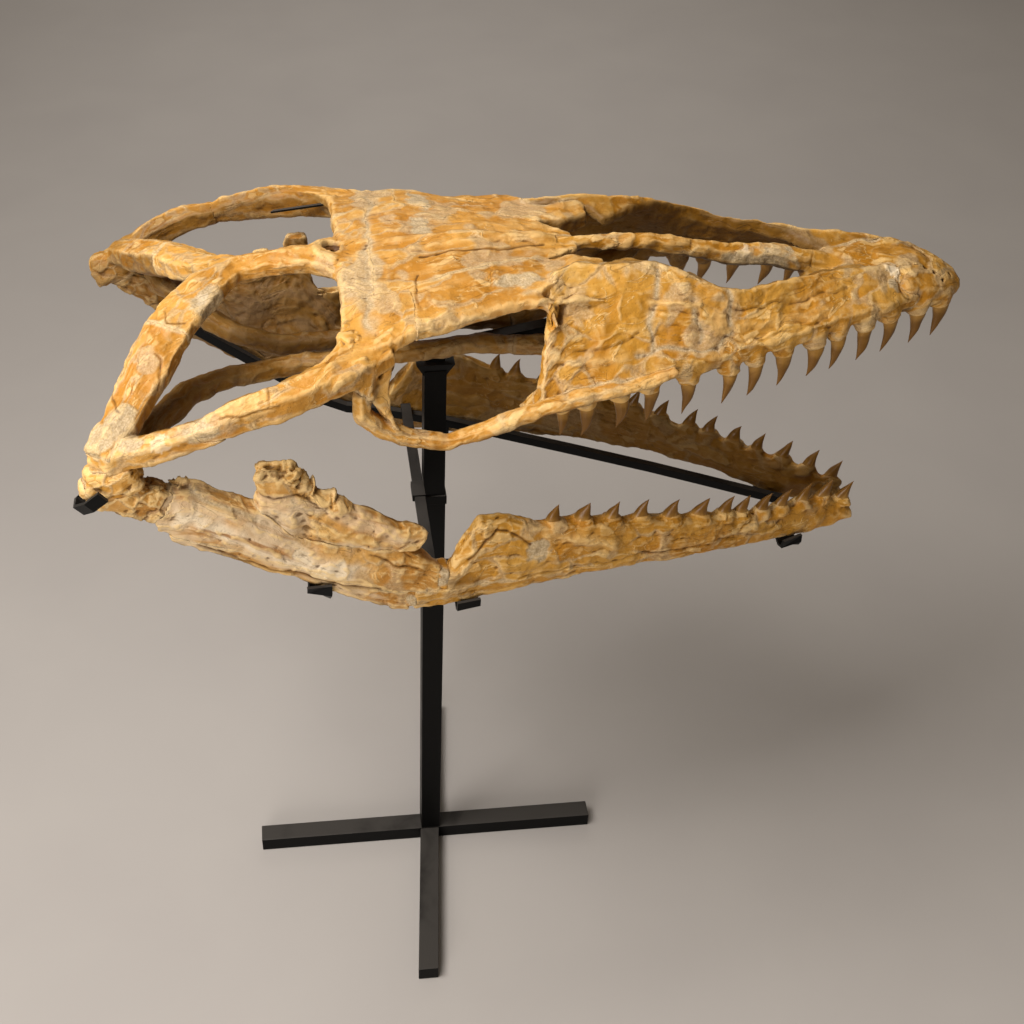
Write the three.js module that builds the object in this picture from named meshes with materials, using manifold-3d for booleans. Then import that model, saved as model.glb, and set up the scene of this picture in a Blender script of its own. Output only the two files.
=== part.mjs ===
// Fossil mosasaur skull on its black steel museum stand, life size.
// Millimetres, +Z up. The origin is on the floor, under the post, at the middle of the cross base.
// +X points to the snout along the midline of the skull, and +Y is the animal's left.

import * as THREE from 'three';
import { mergeVertices } from 'three/addons/utils/BufferGeometryUtils.js';
import Module from 'manifold-3d';

const wasm = await Module();
wasm.setup();

// ---------------------------------------------------------------- driving dimensions

const RIGHT = -1;
const LEFT = 1;
const SUTURE = 0.32; // open joint between two bones that meet edge to edge
const CLEARANCE = 0.8; // how far a neighbour is swollen before it is cut out of a bone

const SNOUT_TIP = 651; // x of the front of the snout
const TABLE_REAR = -116; // x of the rear edge of the skull table
const CHEEK_SEAM = -38; // x where the postorbitofrontal meets the prefrontal
const FRONTAL_REAR = (TABLE_REAR + CHEEK_SEAM) / 2; // x where the frontal meets the parietal
const ORBIT_FRONT = 121; // x of the front margin of the orbit
const PREFRONTAL_FRONT = 190;

const TUBE = 30; // square tube of the post and the base
const BASE_TALL = 25;
const ARM = { right: 262, left: 275, front: 276, back: 262 };
const BASE_SKEW = 0.11; // how much the long arms of the base lean to +X for each step to +Y
const POST_JOINT = 726; // height of the collar between the two post tubes
const POST_TOP = 924;
const PLATE_TOP = 936;

// Shape tables. Each row starts with x, and the columns between rows follow a smooth curve.
// Outer edge of the gum line of the upper jaw: x, y, z.
const GUM = [
  [78, 176, 962],
  [170, 165, 981],
  [300, 142, 991],
  [415, 116, 1004],
  [500, 88, 1011],
  [575, 56, 1008],
  [627, 31, 1003],
  [648, 10, 1000],
];
// Upper ridge of the cheek wall: x, y, z, and the reach inward to the edge of the nostril.
const RIDGE = [
  [100, 112, 1094, 8],
  [140, 84, 1108, 8],
  [185, 84, 1108, 8],
  [205, 84, 1107, 34],
  [255, 84, 1102, 27],
  [300, 98, 1087, 14],
  [330, 102, 1074, 9],
  [390, 80, 1069, 8],
  [450, 56, 1064, 12],
  [490, 48, 1063, 40],
  [580, 26, 1054, 40],
];
// Outer rim of the skull table: x, y, z.
const RIM = [
  [TABLE_REAR, 194, 1064],
  [-35, 163, 1084],
  [38, 131, 1089],
  [88, 120, 1091],
  [ORBIT_FRONT, 110, 1097],
  [144, 84, 1108],
  [200, 84, 1107],
];
// Midline of the skull table: x, z.
const CROWN = [
  [-125, 1093],
  [-60, 1101],
  [40, 1106],
  [100, 1101],
  [150, 1094],
  [200, 1091],
];
// Half breadth of the frontal bone: x, y.
const FRONTAL_EDGE = [
  [FRONTAL_REAR, 104],
  [CHEEK_SEAM, 96],
  [40, 66],
  [110, 46],
  [140, 36],
  [170, 17],
];
// Middle of each half of the lower jaw in plan: x, y.
const JAW_LINE = [
  [-420, 226],
  [-294, 216],
  [-123, 200],
  [40, 176],
  [169, 150],
  [297, 118],
  [400, 84],
  [499, 43],
  [533, 30],
  [582, 16],
];
// Lower edge of the lower jaw: x, z.
const JAW_BOTTOM = [
  [-412, 908],
  [-349, 872],
  [-240, 809],
  [-123, 738],
  [-78, 708],
  [-50, 697],
  [128, 700],
  [257, 694],
  [407, 668],
  [506, 647],
  [548, 643],
  [578, 652],
];
// Upper edge of the dentary: x, z.
const DENTARY_TOP = [
  [-6, 748],
  [10, 764],
  [25, 805],
  [46, 828],
  [75, 812],
  [108, 794],
  [193, 780],
  [335, 740],
  [444, 710],
  [533, 694],
  [562, 680],
  [578, 664],
];
// Upper edge of the surangular: x, z.
const SURANGULAR_TOP = [
  [-340, 926],
  [-310, 936],
  [-287, 925],
  [-228, 892],
  [-182, 848],
  [-123, 822],
  [-60, 804],
  [-24, 772],
  [-4, 742],
];

const TOOTH = { sides: 6, rings: 2 };
const UPPER_TEETH = [621, 586, 542, 504, 467, 437, 399, 361, 328, 279, 233, 196, 156, 128];
const PREMAXILLARY_TEETH = 2;
const LOWER_TEETH = [558, 526, 492, 458, 428, 396, 370, 331, 291, 249, 209, 170, 132];
const EXTRA_LEFT_TOOTH = 104;

// Bones of the lower jaw, behind and before its middle joint: rear and front x.
const JAW_JOINT = -10;
const LEFT_SHIFT = 48; // how much further back the dentary of the left side reaches
const ANGULAR = { rear: -325, front: -50 };
const SPLENIAL = { rear: -44, front: 212 };
const SURANGULAR = { rear: -338, front: -14 };
const DENTARY = { rear: -6, front: 578 };
const JAW_STEP = 36; // spacing of the columns that make up a slab of the jaw

// Rod along the inner face of each half of the lower jaw, bent once near its middle: x, z.
const CRADLE_ROUTE = [
  [-388, 932],
  [-300, 871],
  [-200, 801],
  [-122, 747],
  [-90, 743],
  [-30, 737],
  [180, 695],
  [300, 675],
  [494, 653],
];
const CRADLE_INSET = 25; // from the middle of the jaw to the middle of the rod
const CLIPS = [-160, 24, 482]; // x of the clips under each half of the lower jaw
const LEFT_REAR_CLIP = -336; // x of the clip that takes the place of the hook on the left

const BONE = new THREE.Color(0.66, 0.47, 0.24);
const JAW_BONE = new THREE.Color(0.68, 0.52, 0.31);
const STEEL = new THREE.Color(0.03, 0.03, 0.032);

// ---------------------------------------------------------------- number helpers

function lerp(a, b, t) {
  return a + (b - a) * t;
}

/** Smooth values of a table at x: a Catmull-Rom curve through the rows, flat past the ends. */
function follow(table, x) {
  const last = table.length - 1;
  if (x <= table[0][0]) return table[0].slice(1);
  if (x >= table[last][0]) return table[last].slice(1);
  let row = 0;
  while (x > table[row + 1][0]) row += 1;
  const here = table[row];
  const next = table[row + 1];
  const before = table[Math.max(row - 1, 0)];
  const after = table[Math.min(row + 2, last)];
  const span = next[0] - here[0];
  const t = (x - here[0]) / span;
  return here.slice(1).map((value, column) => {
    const k = column + 1;
    const slopeHere = ((next[k] - before[k]) / (next[0] - before[0])) * span;
    const slopeNext = ((after[k] - here[k]) / (after[0] - here[0])) * span;
    const t2 = t * t;
    const t3 = t2 * t;
    return (
      (2 * t3 - 3 * t2 + 1) * value +
      (t3 - 2 * t2 + t) * slopeHere +
      (3 * t2 - 2 * t3) * next[k] +
      (t3 - t2) * slopeNext
    );
  });
}

const jawLine = (x) => follow(JAW_LINE, x)[0];
const jawBottom = (x) => follow(JAW_BOTTOM, x)[0];

// ---------------------------------------------------------------- solids

/** Six times the volume inside a triangle mesh, negative if it is inside out. */
function signedVolume(places, corners) {
  const at = (i) => new THREE.Vector3().fromArray(places, corners[i] * 3);
  let sum = 0;
  for (let k = 0; k < corners.length; k += 3) {
    sum += at(k).dot(at(k + 1).cross(at(k + 2)));
  }
  return sum;
}

/** The same triangles, each facing the other way. */
function turned(corners) {
  const result = corners.slice();
  for (let k = 0; k < result.length; k += 3) {
    result[k] = corners[k + 1];
    result[k + 1] = corners[k];
  }
  return result;
}

/** Turns a three.js geometry into one closed solid with shared corners, facing outward. */
function solidOf(geometry) {
  const bare = new THREE.BufferGeometry();
  bare.setAttribute('position', geometry.getAttribute('position'));
  bare.setIndex(geometry.getIndex());
  const merged = mergeVertices(bare, 1e-3);
  const places = new Float32Array(merged.getAttribute('position').array);
  const corners = new Uint32Array(merged.getIndex().array);
  const outward = signedVolume(places, corners) < 0 ? turned(corners) : corners;
  return new wasm.Manifold(
    new wasm.Mesh({ numProp: 3, vertProperties: places, triVerts: outward }),
  );
}

/** Turns a solid back into a three.js geometry, keeping only its largest body. */
function geometryOf(solid) {
  const mesh = solid.getMesh();
  const owner = Array.from({ length: mesh.vertProperties.length / 3 }, (_, i) => i);
  const root = (i) => {
    while (owner[i] !== i) i = owner[i];
    return i;
  };
  for (let k = 0; k < mesh.triVerts.length; k += 3) {
    owner[root(mesh.triVerts[k + 1])] = root(mesh.triVerts[k]);
    owner[root(mesh.triVerts[k + 2])] = root(mesh.triVerts[k]);
  }
  const counts = new Map();
  for (let k = 0; k < mesh.triVerts.length; k += 3) {
    const body = root(mesh.triVerts[k]);
    counts.set(body, (counts.get(body) ?? 0) + 1);
  }
  const largest = [...counts].sort((a, b) => b[1] - a[1])[0][0];
  const kept = [];
  for (let k = 0; k < mesh.triVerts.length; k += 3) {
    if (root(mesh.triVerts[k]) === largest) kept.push(...mesh.triVerts.slice(k, k + 3));
  }
  const geometry = new THREE.BufferGeometry();
  geometry.setAttribute('position', new THREE.BufferAttribute(mesh.vertProperties, 3));
  geometry.setIndex(kept);
  return geometry;
}

/** Moves every corner of a geometry through a function of its own place. */
function reshape(geometry, place) {
  const positions = geometry.getAttribute('position');
  const point = new THREE.Vector3();
  for (let i = 0; i < positions.count; i += 1) {
    point.fromBufferAttribute(positions, i);
    const moved = place(point.x, point.y, point.z);
    positions.setXYZ(i, moved.x, moved.y, moved.z);
  }
  return geometry;
}

/** A box bent by place(along, across, through), each running from 0 to 1. */
function bentBox(alongParts, acrossParts, throughParts, place) {
  const box = new THREE.BoxGeometry(1, 1, 1, alongParts, acrossParts, throughParts);
  return solidOf(reshape(box, (x, y, z) => place(x + 0.5, y + 0.5, z + 0.5)));
}

/** Mirrors a solid of the right side to the left side of the skull. */
function mirrored(solid) {
  const mesh = solid.getMesh();
  const places = mesh.vertProperties.map((value, i) => (i % 3 === 1 ? -value : value));
  const flipped = { numProp: 3, vertProperties: places, triVerts: turned(mesh.triVerts) };
  return new wasm.Manifold(new wasm.Mesh(flipped));
}

/** The same solid with every corner pushed out along its normal. */
function swollen(solid, amount = CLEARANCE) {
  const mesh = solid.getMesh();
  const geometry = new THREE.BufferGeometry();
  geometry.setAttribute('position', new THREE.BufferAttribute(mesh.vertProperties.slice(), 3));
  geometry.setIndex([...mesh.triVerts]);
  geometry.computeVertexNormals();
  const places = geometry.getAttribute('position').array;
  const normals = geometry.getAttribute('normal').array;
  const grown = places.map((value, i) => value + normals[i] * amount);
  const grownMesh = { numProp: 3, vertProperties: grown, triVerts: mesh.triVerts };
  return new wasm.Manifold(new wasm.Mesh(grownMesh));
}

/** Cuts each neighbour, with its clearance, out of a bone. */
function fitted(bone, ...neighbours) {
  return neighbours.reduce((rest, other) => rest.subtract(swollen(other)).subtract(other), bone);
}

function joined(first, ...others) {
  return others.reduce((whole, other) => whole.add(other), first);
}

/**
 * A bone shaft along a smooth curve. Each station is [x, y, z, halfWide, halfTall].
 * halfTall is measured along the upward direction given, and halfWide across it.
 * With four sides the section is an upright rectangle.
 */
function limb(stations, { sides = 8, rings = 12, up = [0, 0, 1], square = 0.85 } = {}) {
  const upward = new THREE.Vector3(...up);
  const centres = stations.map(([x, y, z]) => new THREE.Vector3(x, y, z));
  const curve = new THREE.CatmullRomCurve3(centres, false, 'centripetal');
  const steps = stations.length - 1;
  const sizes = stations.map((row, i) => [i, row[3], row[4]]);
  const reach = sides === 4 ? Math.SQRT2 : 1;
  const rod = new THREE.CylinderGeometry(reach, reach, 1, sides, rings, false);
  if (sides === 4) rod.rotateY(Math.PI / 4);
  return solidOf(
    reshape(rod, (x, y, z) => {
      const t = THREE.MathUtils.clamp(y + 0.5, 0, 1);
      const centre = curve.getPoint(t);
      const tangent = curve.getTangent(t);
      const across = new THREE.Vector3().crossVectors(tangent, upward).normalize();
      const raised = new THREE.Vector3().crossVectors(across, tangent).normalize();
      const [wide, tall] = follow(sizes, t * steps);
      const round = (value) => Math.sign(value) * Math.abs(value) ** square;
      return centre.addScaledVector(across, round(x) * wide).addScaledVector(raised, round(z) * tall);
    }),
  );
}

/** One pointed tooth, oval at the root and bent toward its tip. */
function tooth(root, tip, long, wide, bend) {
  const base = new THREE.Vector3(...root);
  const point = new THREE.Vector3(...tip);
  const cone = new THREE.ConeGeometry(1, 1, TOOTH.sides, TOOTH.rings);
  return solidOf(
    reshape(cone, (x, y, z) => {
      const t = y + 0.5;
      const belly = 1 + 0.5 * Math.sin(Math.PI * t);
      const place = base.clone().lerp(point, t);
      place.x += bend * Math.sin(Math.PI * t) + x * long * belly;
      place.y += z * wide * belly;
      return place;
    }),
  );
}

// ---------------------------------------------------------------- roof of the skull

/** Height of the top of the skull table at x, y. */
function roofTop(x, y) {
  const [rimY, rimZ] = follow(RIM, x);
  const [crown] = follow(CROWN, x);
  const share = Math.min(Math.abs(y) / rimY, 1);
  return lerp(crown, rimZ, share ** 2.4);
}

/** Plate of the skull table between two side edges, thinner toward the rim. */
function roofPlate(rear, front, innerEdge, outerEdge, { along = 6, across = 4, thick = 20 } = {}) {
  return bentBox(along, across, 1, (s, t, w) => {
    const x = lerp(rear, front, s);
    const y = lerp(outerEdge(x), innerEdge(x), t);
    const depth = thick - 6 * Math.min(Math.abs(y) / 190, 1);
    return new THREE.Vector3(x, y, roofTop(x, y) - depth * (1 - w));
  });
}

const frontalEdge = (x) => follow(FRONTAL_EDGE, x)[0];

function frontal() {
  const edge = (sign) => (x) => sign * (frontalEdge(x) - SUTURE / 2);
  const shield = roofPlate(FRONTAL_REAR, 166, edge(1), edge(-1), { along: 6, across: 4, thick: 22 });
  const keel = limb(
    [
      [-60, 0, 1096, 12, 7],
      [20, 0, 1104, 9, 8],
      [120, 0, 1097, 8, 8],
      [158, 0, 1089, 6, 6],
    ],
    { rings: 3, sides: 6 },
  );
  return shield.add(keel);
}

/** Rear arm of the parietal and the start of its neighbour. The left one is crushed down and back. */
const ROOF_ARM = {
  [RIGHT]: [
    [-240, -6, 1076, 18, 14],
    [-268, -36, 1074, 28, 15],
    [-294, -72, 1067, 32, 16],
    [-312, -102, 1057, 31, 16],
  ],
  [LEFT]: [
    [-240, 6, 1076, 18, 14],
    [-272, 36, 1061, 24, 15],
    [-298, 72, 1045, 28, 18],
    [-318, 102, 1035, 28, 22],
  ],
};

/** Table, pineal opening, narrow crest and the two rear arms of the parietal. */
function parietal() {
  const breadth = [
    [TABLE_REAR, 78],
    [FRONTAL_REAR, 104],
  ];
  const edge = (sign) => (x) => sign * (follow(breadth, x)[0] - SUTURE);
  const front = FRONTAL_REAR - 2 * SUTURE;
  const table = roofPlate(TABLE_REAR, front, edge(1), edge(-1), { along: 1, across: 4, thick: 20 });
  const crest = limb(
    [
      [-95, 0, 1081, 64, 14],
      [-124, 0, 1083, 36, 16],
      [-150, 0, 1083, 22, 17],
      [-200, 0, 1080, 20, 16],
      [-240, 0, 1076, 22, 14],
      [-264, 0, 1070, 30, 12],
    ],
    { rings: 5, sides: 6 },
  );
  const arm = (side) => limb(ROOF_ARM[side], { rings: 3, sides: 6 });
  const pineal = new THREE.CylinderGeometry(10, 8, 30, 10);
  pineal.rotateX(Math.PI / 2);
  pineal.translate(-123, 0, 1098);
  return joined(table, crest, arm(RIGHT), arm(LEFT)).subtract(solidOf(pineal));
}

/** Rear arm of the skull roof that reaches down and out to the jaw corner. */
function supratemporal(side) {
  const right = [
    [-306, -92, 1061, 31, 16],
    [-329, -132, 1044, 30, 17],
    [-346, -165, 1027, 26, 17],
    [-363, -198, 1010, 23, 18],
    [-388, -232, 987, 19, 17],
  ];
  const left = [
    [-312, -92, 1040, 28, 22],
    [-338, -132, 1019, 28, 22],
    [-358, -165, 1004, 27, 21],
    [-377, -196, 992, 24, 19],
    [-394, -224, 981, 21, 16],
  ];
  return limb(side === LEFT ? left : right, { rings: 4, sides: 6 });
}

/** Cheek corner: plate beside the frontal, the root of the arch and the stem down to the jugal. */
function postorbitofrontal() {
  const innerBreadth = [
    [TABLE_REAR, 78],
    [FRONTAL_REAR, 104],
    [CHEEK_SEAM, 96],
  ];
  const inner = (x) => -(follow(innerBreadth, x)[0] + 2 * SUTURE);
  const outer = (x) => -follow(RIM, x)[0];
  const shape = { along: 2, across: 3, thick: 20 };
  const plate = roofPlate(TABLE_REAR, CHEEK_SEAM - SUTURE / 2, inner, outer, shape);
  const arch = limb(
    [
      [-70, -168, 1060, 20, 14],
      [-112, -190, 1054, 26, 17],
      [-150, -209, 1049, 22, 22],
      [-200, -226, 1041, 18, 22],
      [-250, -235, 1028, 16, 19],
      [-282, -238, 1018, 13, 10],
    ],
    { rings: 5, sides: 6 },
  );
  const stem = limb(
    [
      [-104, -178, 1060, 26, 16],
      [-96, -190, 1040, 20, 13],
      [-96, -194, 1022, 15, 11],
    ],
    { rings: 2, up: [1, 0, 0], sides: 6 },
  );
  return joined(plate, arch, stem);
}

function squamosal(side) {
  const rise = side === LEFT ? 9 : 0;
  return limb(
    [
      [-240, -233, 1022, 10, 9],
      [-262, -236, 1020 + rise / 2, 15, 16],
      [-300, -236, 1008 + rise, 17 + rise / 3, 18],
      [-340, -234, 994 + rise, 18 + rise / 3, 18 + rise / 3],
      [-378, -228, 984, 19, 17],
      [-398, -222, 980, 14, 14],
    ],
    { rings: 5, sides: 6 },
  );
}

/** Slim bowed bar below the orbit, from the stem behind it to the cheek wall in front. */
function jugal() {
  return limb(
    [
      [-103, -194, 1030, 10, 18],
      [-104, -196, 1004, 11, 16],
      [-86, -197, 981, 11, 15],
      [-58, -198, 966, 11, 13],
      [-22, -199, 955, 10, 12],
      [14, -199, 960, 10, 11],
      [60, -195, 977, 9, 12],
      [104, -188, 988, 9, 13],
      [160, -178, 994, 8, 12],
      [215, -167, 997, 6, 10],
      [262, -157, 1004, 4, 7],
    ],
    { rings: 9, up: [0, 1, 0], sides: 6 },
  );
}

// ---------------------------------------------------------------- snout

/** Point of the cheek wall, from the gum line (rise 0) to the nostril edge (rise 1). */
function wallPoint(x, rise, inward, side) {
  const [gumY, gumZ] = follow(GUM, x);
  const [ridgeY, ridgeZ, fullReach] = follow(RIDGE, x);
  // The left edge of the nostril is broken back to a thin rim.
  const broken = THREE.MathUtils.clamp((x - 215) / 40, 0, 1) * THREE.MathUtils.clamp((480 - x) / 40, 0, 1);
  const lipReach = side === LEFT ? fullReach * (1 - 0.6 * broken) : fullReach;
  const lipY = Math.max(ridgeY - lipReach, 4);
  const lipDrop = lerp(3, 14, THREE.MathUtils.clamp((lipReach - 8) / 20, 0, 1));
  const outer = [
    [0, gumY, gumZ],
    [0.25, gumY + 2, gumZ + 18],
    [0.5, lerp(gumY, ridgeY, 0.42), lerp(gumZ, ridgeZ, 0.58)],
    [0.75, ridgeY, ridgeZ],
    [1, lipY, ridgeZ - lipDrop],
  ];
  const depth = [
    [0, 24, 3],
    [0.25, 26, 0],
    [0.5, 15, -7],
    [0.75, 6, -15],
    [1, 0, -11],
  ];
  const [y, z] = follow(outer, rise);
  const [stepY, stepZ] = follow(depth, rise);
  return new THREE.Vector3(x, -Math.max(y - stepY * inward, 0.2), z + stepZ * inward);
}

function upperTooth(x) {
  const [gumY, gumZ] = follow(GUM, x);
  const size = x > 130 ? 1 : 0.8;
  const root = [x, -(gumY - 11), gumZ + 6];
  const tip = [x, -(gumY - 3), gumZ - 54 * size];
  return tooth(root, tip, 12 * size, 9 * size, 4);
}

/** Nose bone: the blunt tip, its wedge between the maxillae and the bar between the nostrils. */
function premaxilla() {
  const tip = limb(
    [
      [SNOUT_TIP, 0, 1004, 7, 9],
      [642, 0, 1007, 25, 17],
      [622, 0, 1012, 38, 25],
      [592, 0, 1018, 52, 33],
      [566, 0, 1022, 58, 36],
      [530, 0, 1028, 42, 30],
      [490, 0, 1034, 28, 24],
      [452, 0, 1040, 16, 16],
    ],
    { rings: 7, sides: 10, square: 0.75 },
  );
  const bar = limb(
    [
      [474, 0, 1045, 16, 15],
      [420, 0, 1056, 15, 16],
      [350, 0, 1067, 13, 14],
      [300, 0, 1077, 12, 12],
      [230, 0, 1087, 12, 10],
      [150, 0, 1089, 10, 9],
      [118, 0, 1088, 5, 6],
    ],
    { rings: 6, sides: 6 },
  );
  const teeth = UPPER_TEETH.slice(0, PREMAXILLARY_TEETH).map(upperTooth);
  return joined(tip, bar, ...teeth, ...teeth.map(mirrored));
}

/** Tooth-bearing cheek wall, as if it were on the right side. */
function maxilla(side) {
  const front = 584;
  const rear = 80;
  const wall = bentBox(13, 4, 1, (s, t, w) => {
    // The rear end of the wall leans forward, up the front margin of the orbit.
    const lean = (ORBIT_FRONT + 4 - rear) * Math.sqrt(t) * (1 - s) ** 4;
    return wallPoint(lerp(rear, front, s) + lean, t, 1 - w, side);
  });
  const teeth = UPPER_TEETH.slice(PREMAXILLARY_TEETH).map(upperTooth);
  return joined(wall, ...teeth);
}

/** Plate in front of the orbit that carries its brow, tucked under the ridge of the cheek wall. */
function prefrontal() {
  const notch = (x) => 36 * THREE.MathUtils.clamp((x - 138) / 50, 0, 1);
  const inner = (x) => -(frontalEdge(x) + 2 * SUTURE + notch(x));
  const tuck = (x) => 8 * THREE.MathUtils.clamp((x - ORBIT_FRONT + 5) / 15, 0, 1);
  const outer = (x) => tuck(x) - follow(RIM, x)[0];
  const shape = { along: 7, across: 2, thick: 20 };
  const plate = roofPlate(CHEEK_SEAM + SUTURE / 2, PREFRONTAL_FRONT, inner, outer, shape);
  const brow = limb(
    [
      [-26, -154, 1076, 9, 8],
      [38, -127, 1081, 9, 9],
      [88, -116, 1084, 10, 10],
      [116, -122, 1077, 10, 11],
      [124, -138, 1058, 8, 9],
    ],
    { rings: 4, sides: 6 },
  );
  return plate.add(brow);
}

// ---------------------------------------------------------------- palate and jaw joint

function pterygoid() {
  return limb(
    [
      [96, -30, 969, 11, 13],
      [40, -26, 970, 12, 12],
      [-20, -26, 966, 15, 11],
      [-90, -24, 961, 14, 12],
      [-160, -24, 953, 12, 13],
      [-215, -28, 950, 13, 14],
      [-265, -58, 962, 15, 14],
      [-306, -104, 971, 16, 15],
      [-340, -160, 971, 15, 16],
      [-358, -194, 965, 11, 12],
    ],
    { rings: 8, sides: 6 },
  );
}

function palatine() {
  return limb(
    [
      [97, -30, 969, 14, 14],
      [140, -44, 974, 17, 13],
      [190, -74, 984, 20, 11],
      [240, -108, 998, 20, 9],
      [268, -128, 1003, 12, 8],
    ],
    { rings: 4, sides: 6 },
  );
}

/** Crushed block of the quadrate below the roof corner. The left one lies further back. */
function quadrate(rearward) {
  return limb(
    [
      [-387 - rearward, -229, 976, 24, 16],
      [-384 - rearward, -229, 966, 30, 22],
      [-376 - rearward, -228, 954, 34, 22],
      [-373 - rearward * 0.9, -227, 943, 28, 18],
    ],
    { rings: 3, up: [0, 1, 0], square: 0.6 },
  );
}

function articular() {
  return limb(
    [
      [-417, -229, 947, 12, 9],
      [-400, -229, 943, 20, 15],
      [-372, -227, 931, 22, 21],
      [-344, -222, 919, 20, 27],
      [-322, -218, 902, 12, 23],
    ],
    { rings: 5, square: 0.65 },
  );
}

// ---------------------------------------------------------------- lower jaw

const surangularTop = (x) => follow(SURANGULAR_TOP, x)[0];
const dentaryTop = (x) => follow(DENTARY_TOP, x)[0];
const jawTop = (x) => (x < JAW_JOINT ? surangularTop(x) : dentaryTop(x));

/** How far back the joint of one side is moved at x, fading out in front of the high rear of the dentary. */
function jointShift(side, x) {
  return side === LEFT ? LEFT_SHIFT * THREE.MathUtils.clamp((60 - x) / 66, 0, 1) : 0;
}

/** Top of the low bones, angular and splenial, which are tallest at the middle joint. */
function lowBoneTop(x) {
  const rearShare = THREE.MathUtils.clamp((x - ANGULAR.rear) / (ANGULAR.front - ANGULAR.rear), 0, 1);
  const frontShare = THREE.MathUtils.clamp((x - SPLENIAL.rear) / (SPLENIAL.front - SPLENIAL.rear), 0, 1);
  return jawBottom(x) + lerp(14, 36, rearShare) - 22 * frontShare;
}

/** Half the thickness of the jaw at x, z, so that bones that share it lie flush. */
function jawHalf(x, z) {
  const thick = lerp(18, 13.5, THREE.MathUtils.clamp(x / 560, 0, 1));
  const share = (z - jawBottom(x)) / (jawTop(x) - jawBottom(x));
  return thick * Math.sqrt(1 - 0.7 * Math.min(1, (2 * share - 1) ** 2));
}

/** Places along the jaw from rear to front: both ends and the whole steps between them. */
function columns(rear, front) {
  const least = 4; // narrowest column
  const places = [rear];
  const first = Math.ceil((rear + least) / JAW_STEP) * JAW_STEP;
  for (let x = first; x < front - least; x += JAW_STEP) places.push(x);
  return [...places, front];
}

/** Upright slab of the right half of the lower jaw between two edges. */
function jawSlab(places, low, high, rows) {
  const last = places.length - 1;
  return bentBox(last, 1, rows, (s, w, t) => {
    const x = places[Math.round(s * last)];
    const z = lerp(low(x), high(x), t);
    const y = jawLine(x) + jawHalf(x, z) * (1 - 2 * w);
    return new THREE.Vector3(x, -Math.max(y, 0.2), z);
  });
}

const underLowBone = (x) => lowBoneTop(x) - SUTURE / 2;
const overLowBone = (x) => lowBoneTop(x) + SUTURE / 2;

/** Lower edge of a high bone of one side. It is wider round the joint on the left, which is moved. */
function highBoneLow(side, x) {
  const moved = side === LEFT && x > -80 && x < 0;
  return overLowBone(x) + (moved ? 1.3 : 0);
}

function splenial() {
  return jawSlab(columns(SPLENIAL.rear, SPLENIAL.front), jawBottom, underLowBone, 1);
}

function angular() {
  return jawSlab(columns(ANGULAR.rear, ANGULAR.front), jawBottom, underLowBone, 1);
}

function surangular(side) {
  const front = SURANGULAR.front - jointShift(side, 0);
  const low = (x) => highBoneLow(side, x);
  return jawSlab(columns(SURANGULAR.rear, front), low, surangularTop, 3);
}

/** Saddle with the tall process for the jaw muscles, which on the left is a broad blade. */
function coronoid(side) {
  const right = [
    [-186, -200, 838, 16, 38],
    [-196, -205, 880, 15, 34],
    [-201, -208, 915, 14, 26],
    [-202, -209, 930, 13, 27],
    [-200, -209, 944, 10, 24],
  ];
  const left = [
    [-162, -201, 838, 14, 62],
    [-178, -203, 890, 14, 87],
    [-178, -205, 934, 12, 84],
    [-168, -208, 950, 12, 26],
    [-163, -209, 984, 13, 18],
    [-162, -209, 1000, 10, 14],
  ];
  const stations = side === LEFT ? left : right;
  const process = limb(stations, { rings: 6, up: [1, 0, 0], square: 0.7 });
  const saddle = limb(
    [
      [-205, -205, 882, 12, 34],
      [-160, -202, 862, 15, 36],
      [-120, -199, 842, 15, 29],
      [-80, -194, 825, 14, 23],
      [-36, -188, 806, 12, 16],
    ],
    { rings: 3, square: 0.7 },
  );
  return process.add(saddle);
}

function lowerTooth(x) {
  const share = THREE.MathUtils.clamp((x - 130) / 420, 0, 1);
  const root = [x, -jawLine(x), dentaryTop(x) - 6];
  const tip = [x + lerp(6, 13, share), -(jawLine(x) + 1), dentaryTop(x) + lerp(29, 32, share)];
  return tooth(root, tip, 12, 8.5, -2.5);
}

/** Tooth-bearing front bone of the lower jaw, which steps down in front of the splenial. */
function dentary(side) {
  const step = SPLENIAL.front + SUTURE;
  const low = (x) => (x < step ? highBoneLow(side, x) : jawBottom(x));
  const rear = DENTARY.rear - jointShift(side, 0);
  const top = (x) => dentaryTop(x + jointShift(side, x));
  const places = [
    ...columns(rear, SPLENIAL.front + SUTURE / 2),
    ...columns(SPLENIAL.front + 2 * SUTURE, DENTARY.front),
  ];
  const body = jawSlab(places, low, top, 2);
  const teeth = side === LEFT ? [...LOWER_TEETH, EXTRA_LEFT_TOOTH] : LOWER_TEETH;
  return joined(body, ...teeth.map(lowerTooth));
}

// ---------------------------------------------------------------- steel stand

function bar(from, to, wide, tall) {
  const ends = [from, to].map((end) => [...end, wide / 2, tall / 2]);
  return limb(ends, { sides: 4, rings: 1, square: 1 });
}

function block(x, y, z, long, wide, tall) {
  return solidOf(new THREE.BoxGeometry(long, wide, tall).translate(x, y, z));
}

function standBase() {
  const middle = BASE_TALL / 2;
  const across = ARM.right + ARM.left;
  const half = TUBE / 2 + SUTURE;
  const long = (near, far) =>
    bentBox(1, 1, 1, (s, t, w) => {
      const y = lerp(near, far, t);
      return new THREE.Vector3(TUBE * (s - 0.5) + BASE_SKEW * y, y, BASE_TALL * w);
    });
  return {
    stand_base_bar: block((ARM.right - ARM.left) / 2, 0, middle, across, TUBE, BASE_TALL),
    stand_base_front: long(-ARM.front, -half),
    stand_base_back: long(half, ARM.back),
  };
}

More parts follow.
